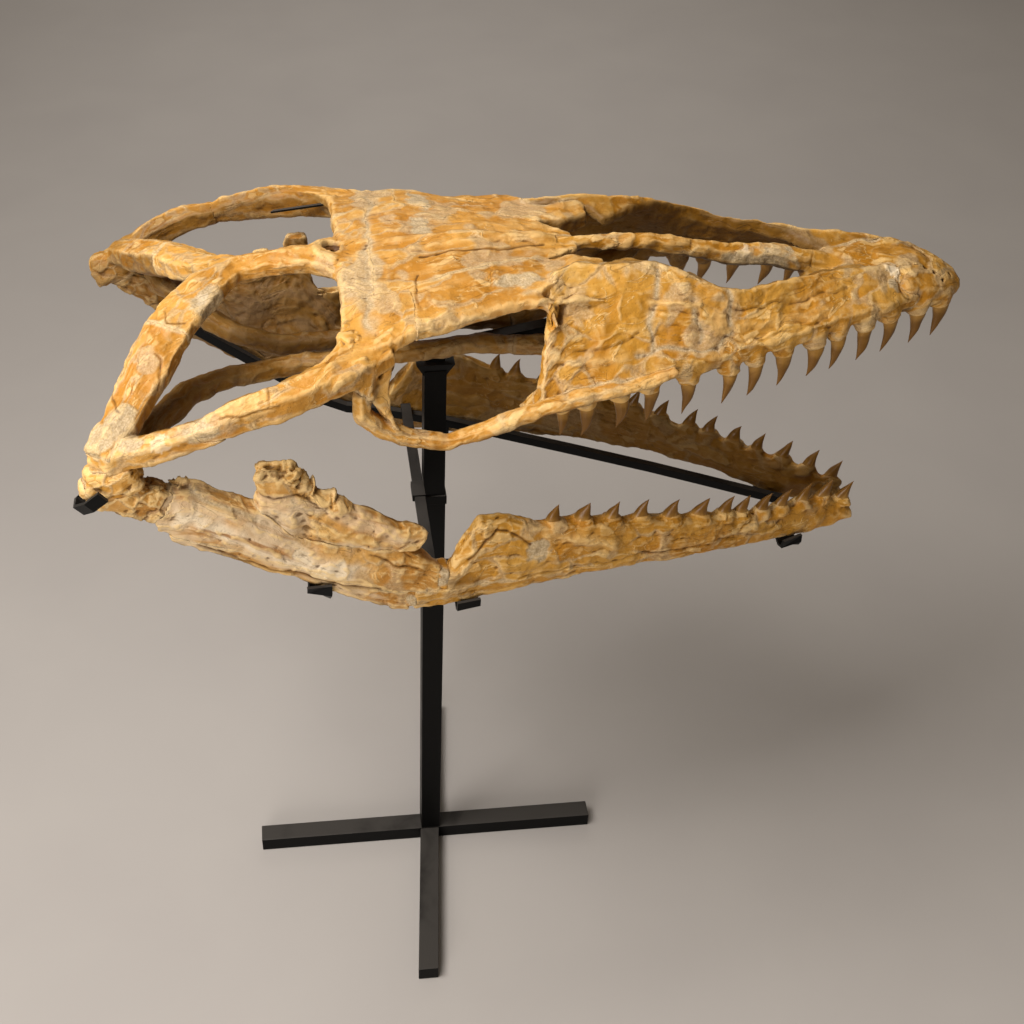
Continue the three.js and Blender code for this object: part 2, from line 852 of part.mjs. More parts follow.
function standPost() {
  const foot = BASE_TALL + SUTURE;
  const collarTall = 14;
  const upper = POST_JOINT + SUTURE;
  const lowerTube = block(0, 0, (foot + POST_JOINT) / 2, TUBE, TUBE, POST_JOINT - foot);
  const collar = block(0, 0, POST_JOINT - collarTall / 2, TUBE + 3, TUBE + 3, collarTall);
  const upperTube = block(0, 0, (upper + POST_TOP) / 2, TUBE - 2, TUBE - 2, POST_TOP - upper);
  const flare = new THREE.CylinderGeometry(34, 20, PLATE_TOP - POST_TOP + 8, 4);
  flare.rotateY(Math.PI / 4);
  flare.rotateX(Math.PI / 2);
  flare.scale(1, 0.7, 1);
  flare.translate(0, 0, (PLATE_TOP + POST_TOP - 8) / 2);
  return {
    stand_post_lower: lowerTube.add(collar),
    stand_post_upper: upperTube.add(solidOf(flare)),
  };
}

function standPalateBar() {
  const wide = 18;
  const rise = PLATE_TOP + SUTURE;
  const foot = block(0, 0, rise + 8, 24, wide, 16);
  return foot.add(bar([-4, 0, rise + 10], [300, 0, 1004], wide, 13));
}

const cradleTop = (x) => follow(CRADLE_ROUTE, x)[0];

/** Strap of bent flat bar from the rod, round the lower edge of the jaw. */
function clip(x) {
  const along = [40, jawLine(x - 20) - jawLine(x + 20), jawBottom(x + 20) - jawBottom(x - 20)];
  const hang = cradleTop(x) - jawBottom(x);
  const bend = [[-CRADLE_INSET, hang], [-22, hang / 3], [-19, -5], [-10, -11], [9, -11], [18, -4], [19, 8]];
  return limb(
    bend.map(([out, rise]) => [x, -(jawLine(x) + out), jawBottom(x) + rise, 2, 15]),
    { sides: 4, rings: 6, up: along, square: 1 },
  );
}

/** Strap from the rear end of the right rod, round the back of the jaw corner and along its outside. */
function rearHook() {
  return limb(
    [
      [-384, -200, 926, 2, 7.5],
      [-410, -208, 922, 2, 7.5],
      [-421, -238, 924, 2, 7.5],
      [-408, -256, 937, 2, 7.5],
      [-388, -257, 953, 2, 7.5],
    ],
    { sides: 4, rings: 5, up: [0.66, 0, -0.75], square: 1 },
  );
}

/** Rod inside one half of the lower jaw with the clips that hold it, and on the right the hook. */
function standCradle(side) {
  const places = CRADLE_ROUTE.map(([x]) => x);
  if (side === LEFT) places[0] = LEFT_REAR_CLIP - 12;
  const route = places.map((x) => [x, CRADLE_INSET - jawLine(x), cradleTop(x), 5, 6]);
  const rod = limb(route, { sides: 4, rings: 9, square: 1 });
  const rear = side === LEFT ? clip(LEFT_REAR_CLIP) : rearHook();
  return joined(rod, rear, ...CLIPS.map(clip));
}

/** Flat bar along the rear of the post from rod to rod, with the sleeve that joins its halves. */
function standCrossBar() {
  const wide = 14;
  const x = -TUBE / 2 - wide / 2;
  const z = cradleTop(x - wide / 2) + 6 + SUTURE + 3;
  const reach = jawLine(x) - CRADLE_INSET + 5;
  return block(x, 0, z, wide, 2 * reach, 6).add(block(x - 1, -27, z, wide + 3, 30, 10));
}

function standRoofStrip() {
  return bar([-118, 160, 1066], [-190, 186, 1052], 12, 2.5);
}

// ---------------------------------------------------------------- assembly

/** Bones on the midline of the skull. */
function placeMiddle() {
  const nose = premaxilla();
  return { premaxilla: nose, frontal: frontal().subtract(swollen(nose)), parietal: parietal() };
}

/**
 * Bones of one side of the skull above the jaw, as if they were on the right, in the order in
 * which each gives way to the next.
 */
function placeCheek(side, { premaxilla: nose, frontal: forehead, parietal: crown }) {
  const wall = fitted(maxilla(side), nose);
  const cheek = postorbitofrontal();
  const brow = fitted(prefrontal(), forehead, wall, nose);
  const rearArm = fitted(supratemporal(side), side === LEFT ? mirrored(crown) : crown);
  const archRear = fitted(squamosal(side), cheek, rearArm);
  const lowerBar = fitted(jugal(), cheek, wall, brow);
  const palateFront = fitted(palatine(), wall);
  const palateRear = fitted(pterygoid(), palateFront);
  return {
    maxilla: wall,
    prefrontal: brow,
    postorbitofrontal: cheek,
    supratemporal: rearArm,
    squamosal: archRear,
    jugal: lowerBar,
    palatine: palateFront,
    pterygoid: palateRear,
  };
}

/** Bones of one half of the lower jaw, with the quadrate that it hangs from. */
function placeJaw(side, { squamosal: arch, supratemporal: arm, pterygoid: palate }) {
  const block = fitted(quadrate(side === LEFT ? 26 : 0), arch, arm, palate);
  const back = fitted(articular(), block);
  const belly = fitted(angular(), back);
  const lowFront = splenial();
  const process = coronoid(side);
  const body = fitted(surangular(side), back, process);
  const front = dentary(side);
  return {
    quadrate: block,
    articular: back,
    angular: belly,
    splenial: lowFront,
    coronoid: process,
    surangular: body,
    dentary: front,
  };
}

function meshOf(name, solid, colour, roughness, metalness) {
  const material = new THREE.MeshStandardMaterial({ color: colour, roughness, metalness });
  const mesh = new THREE.Mesh(geometryOf(solid), material);
  mesh.name = name;
  return mesh;
}

function buildSkull() {
  const group = new THREE.Group();
  const addBone = (name, solid, colour = BONE) => group.add(meshOf(name, solid, colour, 0.5, 0));
  const addSteel = (name, solid) => group.add(meshOf(name, solid, STEEL, 0.45, 0.4));
  const sides = { right: RIGHT, left: LEFT };
  const middle = placeMiddle();

  for (const [name, solid] of Object.entries(middle)) addBone(name, solid);
  for (const [word, side] of Object.entries(sides)) {
    const turn = side === LEFT ? mirrored : (solid) => solid;
    const cheek = placeCheek(side, middle);
    for (const [name, solid] of Object.entries(cheek)) addBone(`${name}_${word}`, turn(solid));
    for (const [name, solid] of Object.entries(placeJaw(side, cheek))) {
      addBone(`${name}_${word}`, turn(solid), JAW_BONE);
    }
  }

  for (const [name, solid] of Object.entries(standBase())) addSteel(name, solid);
  for (const [name, solid] of Object.entries(standPost())) addSteel(name, solid);
  addSteel('stand_palate_bar', standPalateBar());
  addSteel('stand_cross_bar', standCrossBar());
  addSteel('stand_cradle_right', standCradle(RIGHT));
  addSteel('stand_cradle_left', mirrored(standCradle(LEFT)));
  addSteel('stand_roof_strip', fitted(standRoofStrip(), mirrored(postorbitofrontal())));
  return group;
}

export default buildSkull();
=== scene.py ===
"""Fossil mosasaur skull on its black steel museum stand, life size, in metres with +Z up.

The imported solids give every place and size. Each bone is carved from its own solid: rounded together
with its neighbours so that the joints run on smoothly, then lumped, furrowed, cracked and pitted, and
dressed in varnished fossil bone. The tooth crowns, the lumps of filler in the lower jaw and the
bevelled steel are modelled on their own.
"""

import logging
import math
from dataclasses import dataclass, field
from enum import Enum

import bmesh
import bpy
import numpy as np
from mathutils import Matrix, Vector
from mathutils.kdtree import KDTree


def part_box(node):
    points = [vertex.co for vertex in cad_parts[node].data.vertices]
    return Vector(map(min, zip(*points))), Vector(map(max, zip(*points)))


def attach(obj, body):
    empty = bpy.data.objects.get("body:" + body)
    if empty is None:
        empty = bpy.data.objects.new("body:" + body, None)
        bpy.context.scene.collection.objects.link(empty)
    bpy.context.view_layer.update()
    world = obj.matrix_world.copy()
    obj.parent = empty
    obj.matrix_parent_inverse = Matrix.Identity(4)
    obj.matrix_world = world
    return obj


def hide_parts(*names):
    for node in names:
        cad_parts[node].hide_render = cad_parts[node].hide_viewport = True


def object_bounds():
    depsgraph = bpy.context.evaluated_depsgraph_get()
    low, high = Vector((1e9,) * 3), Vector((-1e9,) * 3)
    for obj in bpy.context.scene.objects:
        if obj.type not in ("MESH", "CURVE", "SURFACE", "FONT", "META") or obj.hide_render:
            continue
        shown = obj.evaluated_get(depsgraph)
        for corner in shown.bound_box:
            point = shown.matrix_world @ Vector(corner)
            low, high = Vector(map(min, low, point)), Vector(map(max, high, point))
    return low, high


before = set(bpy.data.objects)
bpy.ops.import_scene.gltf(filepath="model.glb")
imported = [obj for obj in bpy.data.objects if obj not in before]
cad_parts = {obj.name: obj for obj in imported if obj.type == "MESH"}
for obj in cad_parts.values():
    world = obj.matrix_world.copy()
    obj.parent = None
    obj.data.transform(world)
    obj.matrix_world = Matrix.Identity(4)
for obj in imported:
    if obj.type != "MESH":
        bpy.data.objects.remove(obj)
CAD_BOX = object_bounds()

LOG = logging.getLogger("skull")
BODY = "root"
VOXEL = 0.0016  # fineness of the carved bone surface
MM = 0.001

Triple = tuple[float, float, float]
Colour = tuple[float, float, float, float]
Layers = tuple[tuple[str, float], ...]


class Side(Enum):
    """Side of the animal, with the sign of its Y."""

    RIGHT = -1
    LEFT = 1
    MIDDLE = 0

    @property
    def word(self) -> str:
        """The side as it stands at the end of a node's name."""
        return self.name.lower()


class Jaw(Enum):
    """Jaw that a row of teeth grows from, with the way its tips point."""

    UPPER = -1
    LOWER = 1

    @property
    def bend(self) -> float:
        """How far the middle of a tooth leans forward."""
        return 4 * MM if self is Jaw.UPPER else -2.5 * MM


class Look(Enum):
    """The finish that a bone wears."""

    ROOF = "RoofBone"
    SNOUT = "SnoutBone"
    JAW = "JawBone"


# ---------------------------------------------------------------- random fields


LATTICE = 256  # cells of a random field before it repeats, a power of two
SPREAD = 1.6  # brings the values of a field to about -1 to 1


class Field:
    """A smooth random field in space, the same for the same seed."""

    def __init__(self, seed: int) -> None:
        """Shuffles the lattice of the field.

        Args:
            seed: Number that the lattice is drawn from.
        """
        draw = np.random.default_rng(seed)
        self.order = draw.permutation(LATTICE)
        slopes = draw.normal(size=(LATTICE, 3))
        self.slopes = slopes / np.linalg.norm(slopes, axis=1, keepdims=True)
        self.jitter = draw.random((LATTICE, 3))

    def _key(self, cell: np.ndarray) -> np.ndarray:
        """The shuffled number of each lattice cell.

        Args:
            cell: Cell numbers, one row each.

        Returns:
            One number for each cell, from 0 to 255.
        """
        first = self.order[cell[:, 0] & (LATTICE - 1)]
        second = self.order[(first + cell[:, 1]) & (LATTICE - 1)]
        return self.order[(second + cell[:, 2]) & (LATTICE - 1)]

    def at(self, places: np.ndarray, size: float | Triple) -> np.ndarray:
        """Values of the field.

        Args:
            places: Points, one row each.
            size: Length of a lattice cell, one number or one for each axis.

        Returns:
            One value for each point, from about -1 to 1.
        """
        grid = places / np.asarray(size)
        corner = np.floor(grid).astype(np.int64)
        inside = grid - corner
        fade = inside**3 * (inside * (inside * 6 - 15) + 10)
        total = np.zeros(len(grid))
        for bits in range(8):
            step = np.array([bits & 1, (bits >> 1) & 1, (bits >> 2) & 1])
            slope = self.slopes[self._key(corner + step)]
            weight = np.prod(np.where(step, fade, 1 - fade), axis=1)
            total += weight * np.einsum("ij,ij->i", slope, inside - step)
        return total * SPREAD

    def layered(self, places: np.ndarray, size: float, layers: int = 3) -> np.ndarray:
        """Sum of the field at halving sizes and strengths.

        Args:
            places: Points, one row each.
            size: Length of the largest lattice cell.
            layers: Number of sizes.

        Returns:
            One value for each point.
        """
        total = np.zeros(len(places))
        for layer in range(layers):
            total += self.at(places + 7.3 * layer, size / 2**layer) / 2**layer
        return total

    def cells(self, places: np.ndarray, size: float | Triple) -> tuple[np.ndarray, np.ndarray]:
        """Random cells in space.

        Args:
            places: Points, one row each.
            size: Length of a lattice cell, one number or one for each axis.

        Returns:
            The distance to the nearest wall as a share of the cell, and a number of each cell, 0 to 1.
        """
        grid = places / np.asarray(size)
        corner = np.floor(grid).astype(np.int64)
        nearest = np.full(len(grid), 9.0)
        second = np.full(len(grid), 9.0)
        owner = np.zeros(len(grid), np.int64)
        for number in range(27):
            step = np.array([number % 3, (number // 3) % 3, number // 9]) - 1
            cell = corner + step
            key = self._key(cell)
            gap = np.linalg.norm(cell + self.jitter[key] - grid, axis=1)
            closer = gap < nearest
            second = np.where(closer, nearest, np.minimum(second, gap))
            owner = np.where(closer, key, owner)
            nearest = np.minimum(nearest, gap)
        return second - nearest, self.order[owner] / (LATTICE - 1)

    def shift(self, places: np.ndarray, size: float) -> np.ndarray:
        """Three independent values of the field for each point, as a vector."""
        return np.stack([self.at(places + 3.1 * k, size) for k in range(3)], axis=1)


# Each field has several uses. A number added to the places, such as + 5.0, parts one from another.
LUMPS = Field(11)
GRAIN = Field(23)
PITS = Field(41)
PLATES = Field(59)
WANDER = Field(71)
STAIN = Field(83)


def ramp(values: np.ndarray, low: float, high: float) -> np.ndarray:
    """Smooth step of the values from 0 at low to 1 at high."""
    share = np.clip((values - low) / (high - low), 0, 1)
    return share * share * (3 - 2 * share)


def swayed(places: np.ndarray) -> np.ndarray:
    """Bends space a little, so that edges and joints wander as they do in an old bone.

    Args:
        places: Points, one row each.

    Returns:
        The moved points.
    """
    slow = 2.6 * MM * WANDER.shift(places, 62 * MM)
    quick = 1.5 * MM * WANDER.shift(places + 1.7, 18 * MM)
    return places + slow + quick


# ---------------------------------------------------------------- mesh helpers


def read(items: bpy.types.bpy_prop_collection, key: str, columns: int, kind: type) -> np.ndarray:
    """Reads one property of many items at once.

    Args:
        items: Corners or edges of a mesh, or their normals.
        key: Name of the property.
        columns: Numbers that each item holds.
        kind: Type of the numbers.

    Returns:
        One row for each item.
    """
    found = np.empty(len(items) * columns, kind)
    items.foreach_get(key, found)
    return found.reshape(-1, columns)


def places_of(mesh: bpy.types.Mesh) -> np.ndarray:
    """Corner places of a mesh, one row each."""
    return read(mesh.vertices, "co", 3, np.float32).astype(float)


def edges_of(mesh: bpy.types.Mesh) -> np.ndarray:
    """Pairs of corner numbers of a mesh, one row for each edge."""
    return read(mesh.edges, "vertices", 2, np.int32)


def normals_of(mesh: bpy.types.Mesh) -> np.ndarray:
    """Outward directions at the corners of a mesh, one row each."""
    return read(mesh.vertex_normals, "vector", 3, np.float32).astype(float)


def move_to(mesh: bpy.types.Mesh, places: np.ndarray) -> None:
    """Puts the corners of a mesh at new places."""
    mesh.vertices.foreach_set("co", places.astype(np.float32).ravel())
    mesh.update()


def neighbour_count(edges: np.ndarray, size: int) -> np.ndarray:
    """Number of neighbours of each corner, at least 1."""
    return np.maximum(np.bincount(edges.ravel(), minlength=size), 1)


def neighbour_mean(values: np.ndarray, edges: np.ndarray, count: np.ndarray) -> np.ndarray:
    """Mean of each corner's neighbours.

    Args:
        values: One row for each corner.
        edges: Pairs of corner numbers.
        count: Number of neighbours of each corner.

    Returns:
        One row for each corner.
    """
    start, end = edges[:, 0], edges[:, 1]
    size = len(values)
    columns = []
    for column in values.T:
        total = np.bincount(start, weights=column[end], minlength=size)
        total += np.bincount(end, weights=column[start], minlength=size)
        columns.append(total / count)
    return np.stack(columns, axis=1)


def relaxed(values: np.ndarray, edges: np.ndarray, plain: int, kept: int) -> np.ndarray:
    """Smooths values over a mesh.

    Args:
        values: One row for each corner.
        edges: Pairs of corner numbers.
        plain: Rounds that shrink a little.
        kept: Rounds that each push back what they shrank.

    Returns:
        The smoothed values, one row for each corner.
    """
    count = neighbour_count(edges, len(values))
    steps = [0.5] * plain + [0.6, -0.63] * kept
    result = values.copy()
    for step in steps:
        result += step * (neighbour_mean(result, edges, count) - result)
    return result


def merged_copy(node: str) -> bmesh.types.BMesh:
    """A copy of a CAD node's solid with shared corners.

    Args:
        node: Name of the node.

    Returns:
        The copy, which the caller frees.
    """
    solid = bmesh.new()
    solid.from_mesh(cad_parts[node].data)
    bmesh.ops.remove_doubles(solid, verts=solid.verts, dist=0.02 * MM)
    return solid


def mesh_of(solid: bmesh.types.BMesh, name: str) -> bpy.types.Mesh:
    """Turns a bmesh into a mesh and frees it.

    Args:
        solid: The bmesh.
        name: Name of the new mesh.

    Returns:
        The new mesh.
    """
    mesh = bpy.data.meshes.new(name)
    solid.to_mesh(mesh)
    solid.free()
    return mesh


def absorb(solid: bmesh.types.BMesh, mesh: bpy.types.Mesh) -> None:
    """Adds a mesh to a bmesh and removes it."""
    solid.from_mesh(mesh)
    bpy.data.meshes.remove(mesh)


def new_object(name: str, data: bpy.types.ID) -> bpy.types.Object:
    """Puts a mesh, a light or a camera in the scene.

    Args:
        name: Name of the object.
        data: What it shows.

    Returns:
        The new object.
    """
    made = bpy.data.objects.new(name, data)
    bpy.context.scene.collection.objects.link(made)
    return made


def turn_to(thing: bpy.types.Object, look: Vector) -> None:
    """Turns a light or a camera so that it looks along a direction."""
    thing.rotation_mode = "QUATERNION"
    thing.rotation_quaternion = look.to_track_quat("-Z", "Y")


def rebuilt(mesh: bpy.types.Mesh, name: str) -> bpy.types.Mesh:
    """An even skin of small squares over the outside of closed shells.

    Args:
        mesh: One or more closed shells.
        name: Name of the new mesh.

    Returns:
        The new mesh.
    """
    holder = new_object(name, mesh)
    remesh = holder.modifiers.new("even", "REMESH")
    remesh.mode = "VOXEL"
    remesh.voxel_size = VOXEL
    remesh.use_smooth_shade = True
    graph = bpy.context.evaluated_depsgraph_get()
    made = bpy.data.meshes.new_from_object(holder.evaluated_get(graph))
    made.name = name
    bpy.data.objects.remove(holder)
    bpy.data.meshes.remove(mesh)
    return made


def store(mesh: bpy.types.Mesh, name: str, values: np.ndarray) -> None:
    """Keeps one number, or one vector, for each corner under a name that materials read.

    Args:
        mesh: The mesh.
        name: Name to keep them under.
        values: One number or one row for each corner.
    """
    kind = "FLOAT" if values.ndim == 1 else "FLOAT_VECTOR"
    layer = mesh.attributes.new(name, kind, "POINT")
    key = "value" if values.ndim == 1 else "vector"
    layer.data.foreach_set(key, values.astype(np.float32).ravel())


def place_piece(
    name: str, mesh: bpy.types.Mesh, material: bpy.types.Material, nodes: list[str]
) -> bpy.types.Object:
    """Puts a finished piece in the scene in place of its CAD nodes.

    Args:
        name: Name of the piece.
        mesh: Its mesh, in the shared frame.
        material: Its finish.
        nodes: The CAD nodes that it stands for.

    Returns:
        The new object.
    """
    mesh.materials.clear()
    mesh.materials.append(material)
    mesh.polygons.foreach_set("use_smooth", [True] * len(mesh.polygons))
    piece = new_object(name, mesh)
    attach(piece, BODY)
    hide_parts(*nodes)
    LOG.info("%s: %d faces", name, len(mesh.polygons))
    return piece


# ---------------------------------------------------------------- node trees


class Bench:
    """Adds nodes to a tree and joins them."""

    def __init__(self, tree: bpy.types.NodeTree) -> None:
        """Starts on an empty tree."""
        self.tree = tree
        tree.nodes.clear()

    def add(self, kind: str, **settings: object) -> bpy.types.Node:
        """Adds one node with its settings.

        Args:
            kind: Type of the node.
            settings: Properties to set on it.

        Returns:
            The node.
        """
        node = self.tree.nodes.new(kind)
        for name, value in settings.items():
            setattr(node, name, value)
        return node

    def feed(self, socket: bpy.types.NodeSocket, value: object) -> None:
        """Joins an output to a socket, or sets the socket's own value."""
        if isinstance(value, bpy.types.NodeSocket):
            self.tree.links.new(value, socket)
        else:
            socket.default_value = value

    def math(self, operation: str, *numbers: object) -> bpy.types.NodeSocket:
        """Output of a sum on numbers.

        Args:
            operation: Name of the sum.
            numbers: Outputs or plain numbers.

        Returns:
            The output.
        """
        node = self.add("ShaderNodeMath", operation=operation)
        for socket, number in zip(node.inputs, numbers):
            self.feed(socket, number)
        return node.outputs[0]

    def scaled(self, value: object, share: float) -> bpy.types.NodeSocket:
        """A number times a share."""
        return self.math("MULTIPLY", value, share)

    def span(self, value: object, low: float, high: float, to: float = 1.0) -> bpy.types.NodeSocket:
        """Smooth step of a number from 0 at low to the given value at high.

        Args:
            value: The number.
            low: Where the step starts.
            high: Where the step ends.
            to: Value at its end.

        Returns:
            The output.
        """
        node = self.add("ShaderNodeMapRange", interpolation_type="SMOOTHSTEP")
        self.feed(node.inputs["Value"], value)
        node.inputs["From Min"].default_value = low
        node.inputs["From Max"].default_value = high
        node.inputs["To Max"].default_value = to
        return node.outputs["Result"]

    def mix(self, share: object, first: object, second: object) -> bpy.types.NodeSocket:
        """Colour between two colours.

        Args:
            share: How much of the second.
            first: Colour at 0.
            second: Colour at 1.

        Returns:
            The colour output.
        """
        node = self.add("ShaderNodeMix", data_type="RGBA")
        self.feed(node.inputs["Factor"], share)
        self.feed(node.inputs[6], first)
        self.feed(node.inputs[7], second)
        return node.outputs[2]

    def stretched(self, vector: object, scale: Triple) -> bpy.types.NodeSocket:
        """Places scaled by a different number along each axis.

        Args:
            vector: The places.
            scale: One number for each axis.

        Returns:
            The scaled places.
        """
        node = self.add("ShaderNodeMapping")
        self.feed(node.inputs["Vector"], vector)
        node.inputs["Scale"].default_value = scale
        return node.outputs["Vector"]

    def noise(
        self, vector: object, scale: object, detail: float = 3.0, warp: float = 0.0
    ) -> bpy.types.NodeSocket:
        """Noise value at the places given.

        Args:
            vector: The places.
            scale: How fine the noise is.
            detail: Number of finer layers.
            warp: How much it is twisted.

        Returns:
            The value output.
        """
        node = self.add("ShaderNodeTexNoise")
        self.feed(node.inputs["Vector"], vector)
        self.feed(node.inputs["Scale"], scale)
        node.inputs["Detail"].default_value = detail
        node.inputs["Distortion"].default_value = warp
        return node.outputs["Fac"]

    def kept(self, name: str, kind: str = "Fac") -> bpy.types.NodeSocket:
        """Output of a value or vector that the mesh keeps."""
        return self.add("ShaderNodeAttribute", attribute_name=name).outputs[kind]


def start_material(name: str) -> tuple[bpy.types.Material, Bench, bpy.types.NodeSocket]:
    """A new material, a bench on its tree, and the places on the piece.

    Args:
        name: Name of the material.

    Returns:
        The three of them.
    """
    material = bpy.data.materials.new(name)
    material.use_nodes = True
    bench = Bench(material.node_tree)
    return material, bench, bench.add("ShaderNodeTexCoord").outputs["Object"]


def close_material(
    bench: Bench,
    tone: object,
    rough: object,
    gloss: dict[str, float],
    bump: tuple[object, float, float] | None = None,
) -> None:
    """Adds the shader and joins it to the output.

    Args:
        bench: The bench on the material's tree.
        tone: The colour.
        rough: The roughness.
        gloss: Fixed values of the shader, by socket.
        bump: Height of the fine relief, its strength and its depth.
    """
    shader = bench.add("ShaderNodeBsdfPrincipled")
    bench.feed(shader.inputs["Base Color"], tone)
    bench.feed(shader.inputs["Roughness"], rough)
    for socket, value in gloss.items():
        shader.inputs[socket].default_value = value
    if bump:
        relief = bench.add("ShaderNodeBump")
        bench.feed(relief.inputs["Height"], bump[0])
        relief.inputs["Strength"].default_value = bump[1]
        relief.inputs["Distance"].default_value = bump[2]
        bench.feed(shader.inputs["Normal"], relief.outputs["Normal"])
    output = bench.add("ShaderNodeOutputMaterial")
    bench.feed(output.inputs["Surface"], shader.outputs["BSDF"])


def new_group(
    name: str, inputs: list[tuple[str, str, float]], outputs: list[tuple[str, str]]
) -> tuple[bpy.types.NodeTree, Bench, bpy.types.Node, bpy.types.Node]:
    """Makes an empty node group with its sockets.

    Args:
        name: Name of the group.
        inputs: Name, kind and first value of each input; a vector has no first value.
        outputs: Name and kind of each output.

    Returns:
        The group, a bench on it, its input node and its output node.
    """
    tree = bpy.data.node_groups.new(name, "ShaderNodeTree")
    for label, kind, value in inputs:
        socket = tree.interface.new_socket(label, in_out="INPUT", socket_type="NodeSocket" + kind)
        if kind == "Float":
            socket.default_value = value
    for label, kind in outputs:
        tree.interface.new_socket(label, in_out="OUTPUT", socket_type="NodeSocket" + kind)
    bench = Bench(tree)
    return tree, bench, bench.add("NodeGroupInput"), bench.add("NodeGroupOutput")


def streaks_group() -> bpy.types.NodeTree:
    """Lengthwise grain of bone: a streak value that runs along the bone.

    Returns:
        The node group.
    """
    tree, bench, given, result = new_group(
        "BoneGrain",
        [("Along", "Vector", 0.0), ("Fineness", "Float", 1.0)],
        [("Streak", "Float"), ("Fibre", "Float")],
    )
    broad = bench.stretched(given.outputs["Along"], (9.0, 55.0, 55.0))
    streak = bench.noise(broad, given.outputs["Fineness"], 4.0, 0.8)
    thin = bench.stretched(given.outputs["Along"], (9.0, 300.0, 300.0))
    fibre = bench.noise(thin, given.outputs["Fineness"], 2.0, 0.4)
    bench.feed(result.inputs["Streak"], streak)
    bench.feed(result.inputs["Fibre"], fibre)
    return tree


def veins_group() -> bpy.types.NodeTree:
    """Thin curled lines that come and go: pale sutures and hairline cracks.

    Returns:
        The node group.
    """
    tree, bench, given, result = new_group(
        "BoneVeins",
        [("Along", "Vector", 0.0), ("Fineness", "Float", 1.0), ("Width", "Float", 0.013)],
        [("Vein", "Float"), ("Crack", "Float")],
    )
    for name, scale, offset in (("Vein", (16.0, 44.0, 44.0), 0.0), ("Crack", (11.0, 30.0, 30.0), 4.0)):
        moved = bench.add("ShaderNodeVectorMath", operation="ADD")
        bench.feed(moved.inputs[0], given.outputs["Along"])
        moved.inputs[1].default_value = (offset, offset, offset)
        thinned = bench.stretched(moved.outputs[0], scale)
        wave = bench.noise(thinned, given.outputs["Fineness"], 3.0, 0.9)
        gap = bench.math("ABSOLUTE", bench.math("SUBTRACT", wave, 0.5))
        line = bench.math("SUBTRACT", 1.0, bench.math("DIVIDE", gap, given.outputs["Width"]))
        shown = bench.span(bench.noise(moved.outputs[0], 21.0, 2.0), 0.46, 0.60)
        bench.feed(result.inputs[name], bench.math("MULTIPLY", bench.span(line, 0.0, 0.8), shown))
    return tree


def pores_group() -> bpy.types.NodeTree:
    """Fine pores and specks on an old surface.

    Returns:
        The node group.
    """
    tree, bench, given, result = new_group(
        "SurfacePores",
        [("Place", "Vector", 0.0), ("Fineness", "Float", 400.0), ("Share", "Float", 0.6)],
        [("Pore", "Float"), ("Speck", "Float")],
    )
    fine = bench.noise(given.outputs["Place"], given.outputs["Fineness"], 2.0, 0.2)
    edge = bench.add("ShaderNodeMapRange", interpolation_type="SMOOTHSTEP")
    bench.feed(edge.inputs["Value"], fine)
    bench.feed(edge.inputs["From Min"], given.outputs["Share"])
    edge.inputs["From Max"].default_value = 0.78
    bench.feed(result.inputs["Pore"], edge.outputs["Result"])
    bench.feed(result.inputs["Speck"], fine)
    return tree


@dataclass(frozen=True)
class Effects:
    """Node groups that more than one finish uses."""

    grain: bpy.types.NodeTree
    veins: bpy.types.NodeTree
    pores: bpy.types.NodeTree

    def use(self, bench: Bench, tree: bpy.types.NodeTree, **inputs: object) -> bpy.types.Node:
        """Places one of the groups with its own values.

        Args:
            bench: The bench on the tree that uses it.
            tree: The group.
            inputs: Values or outputs for its inputs.

        Returns:
            The placed group.
        """
        node = bench.add("ShaderNodeGroup", node_tree=tree)
        for name, value in inputs.items():
            bench.feed(node.inputs[name], value)
        return node


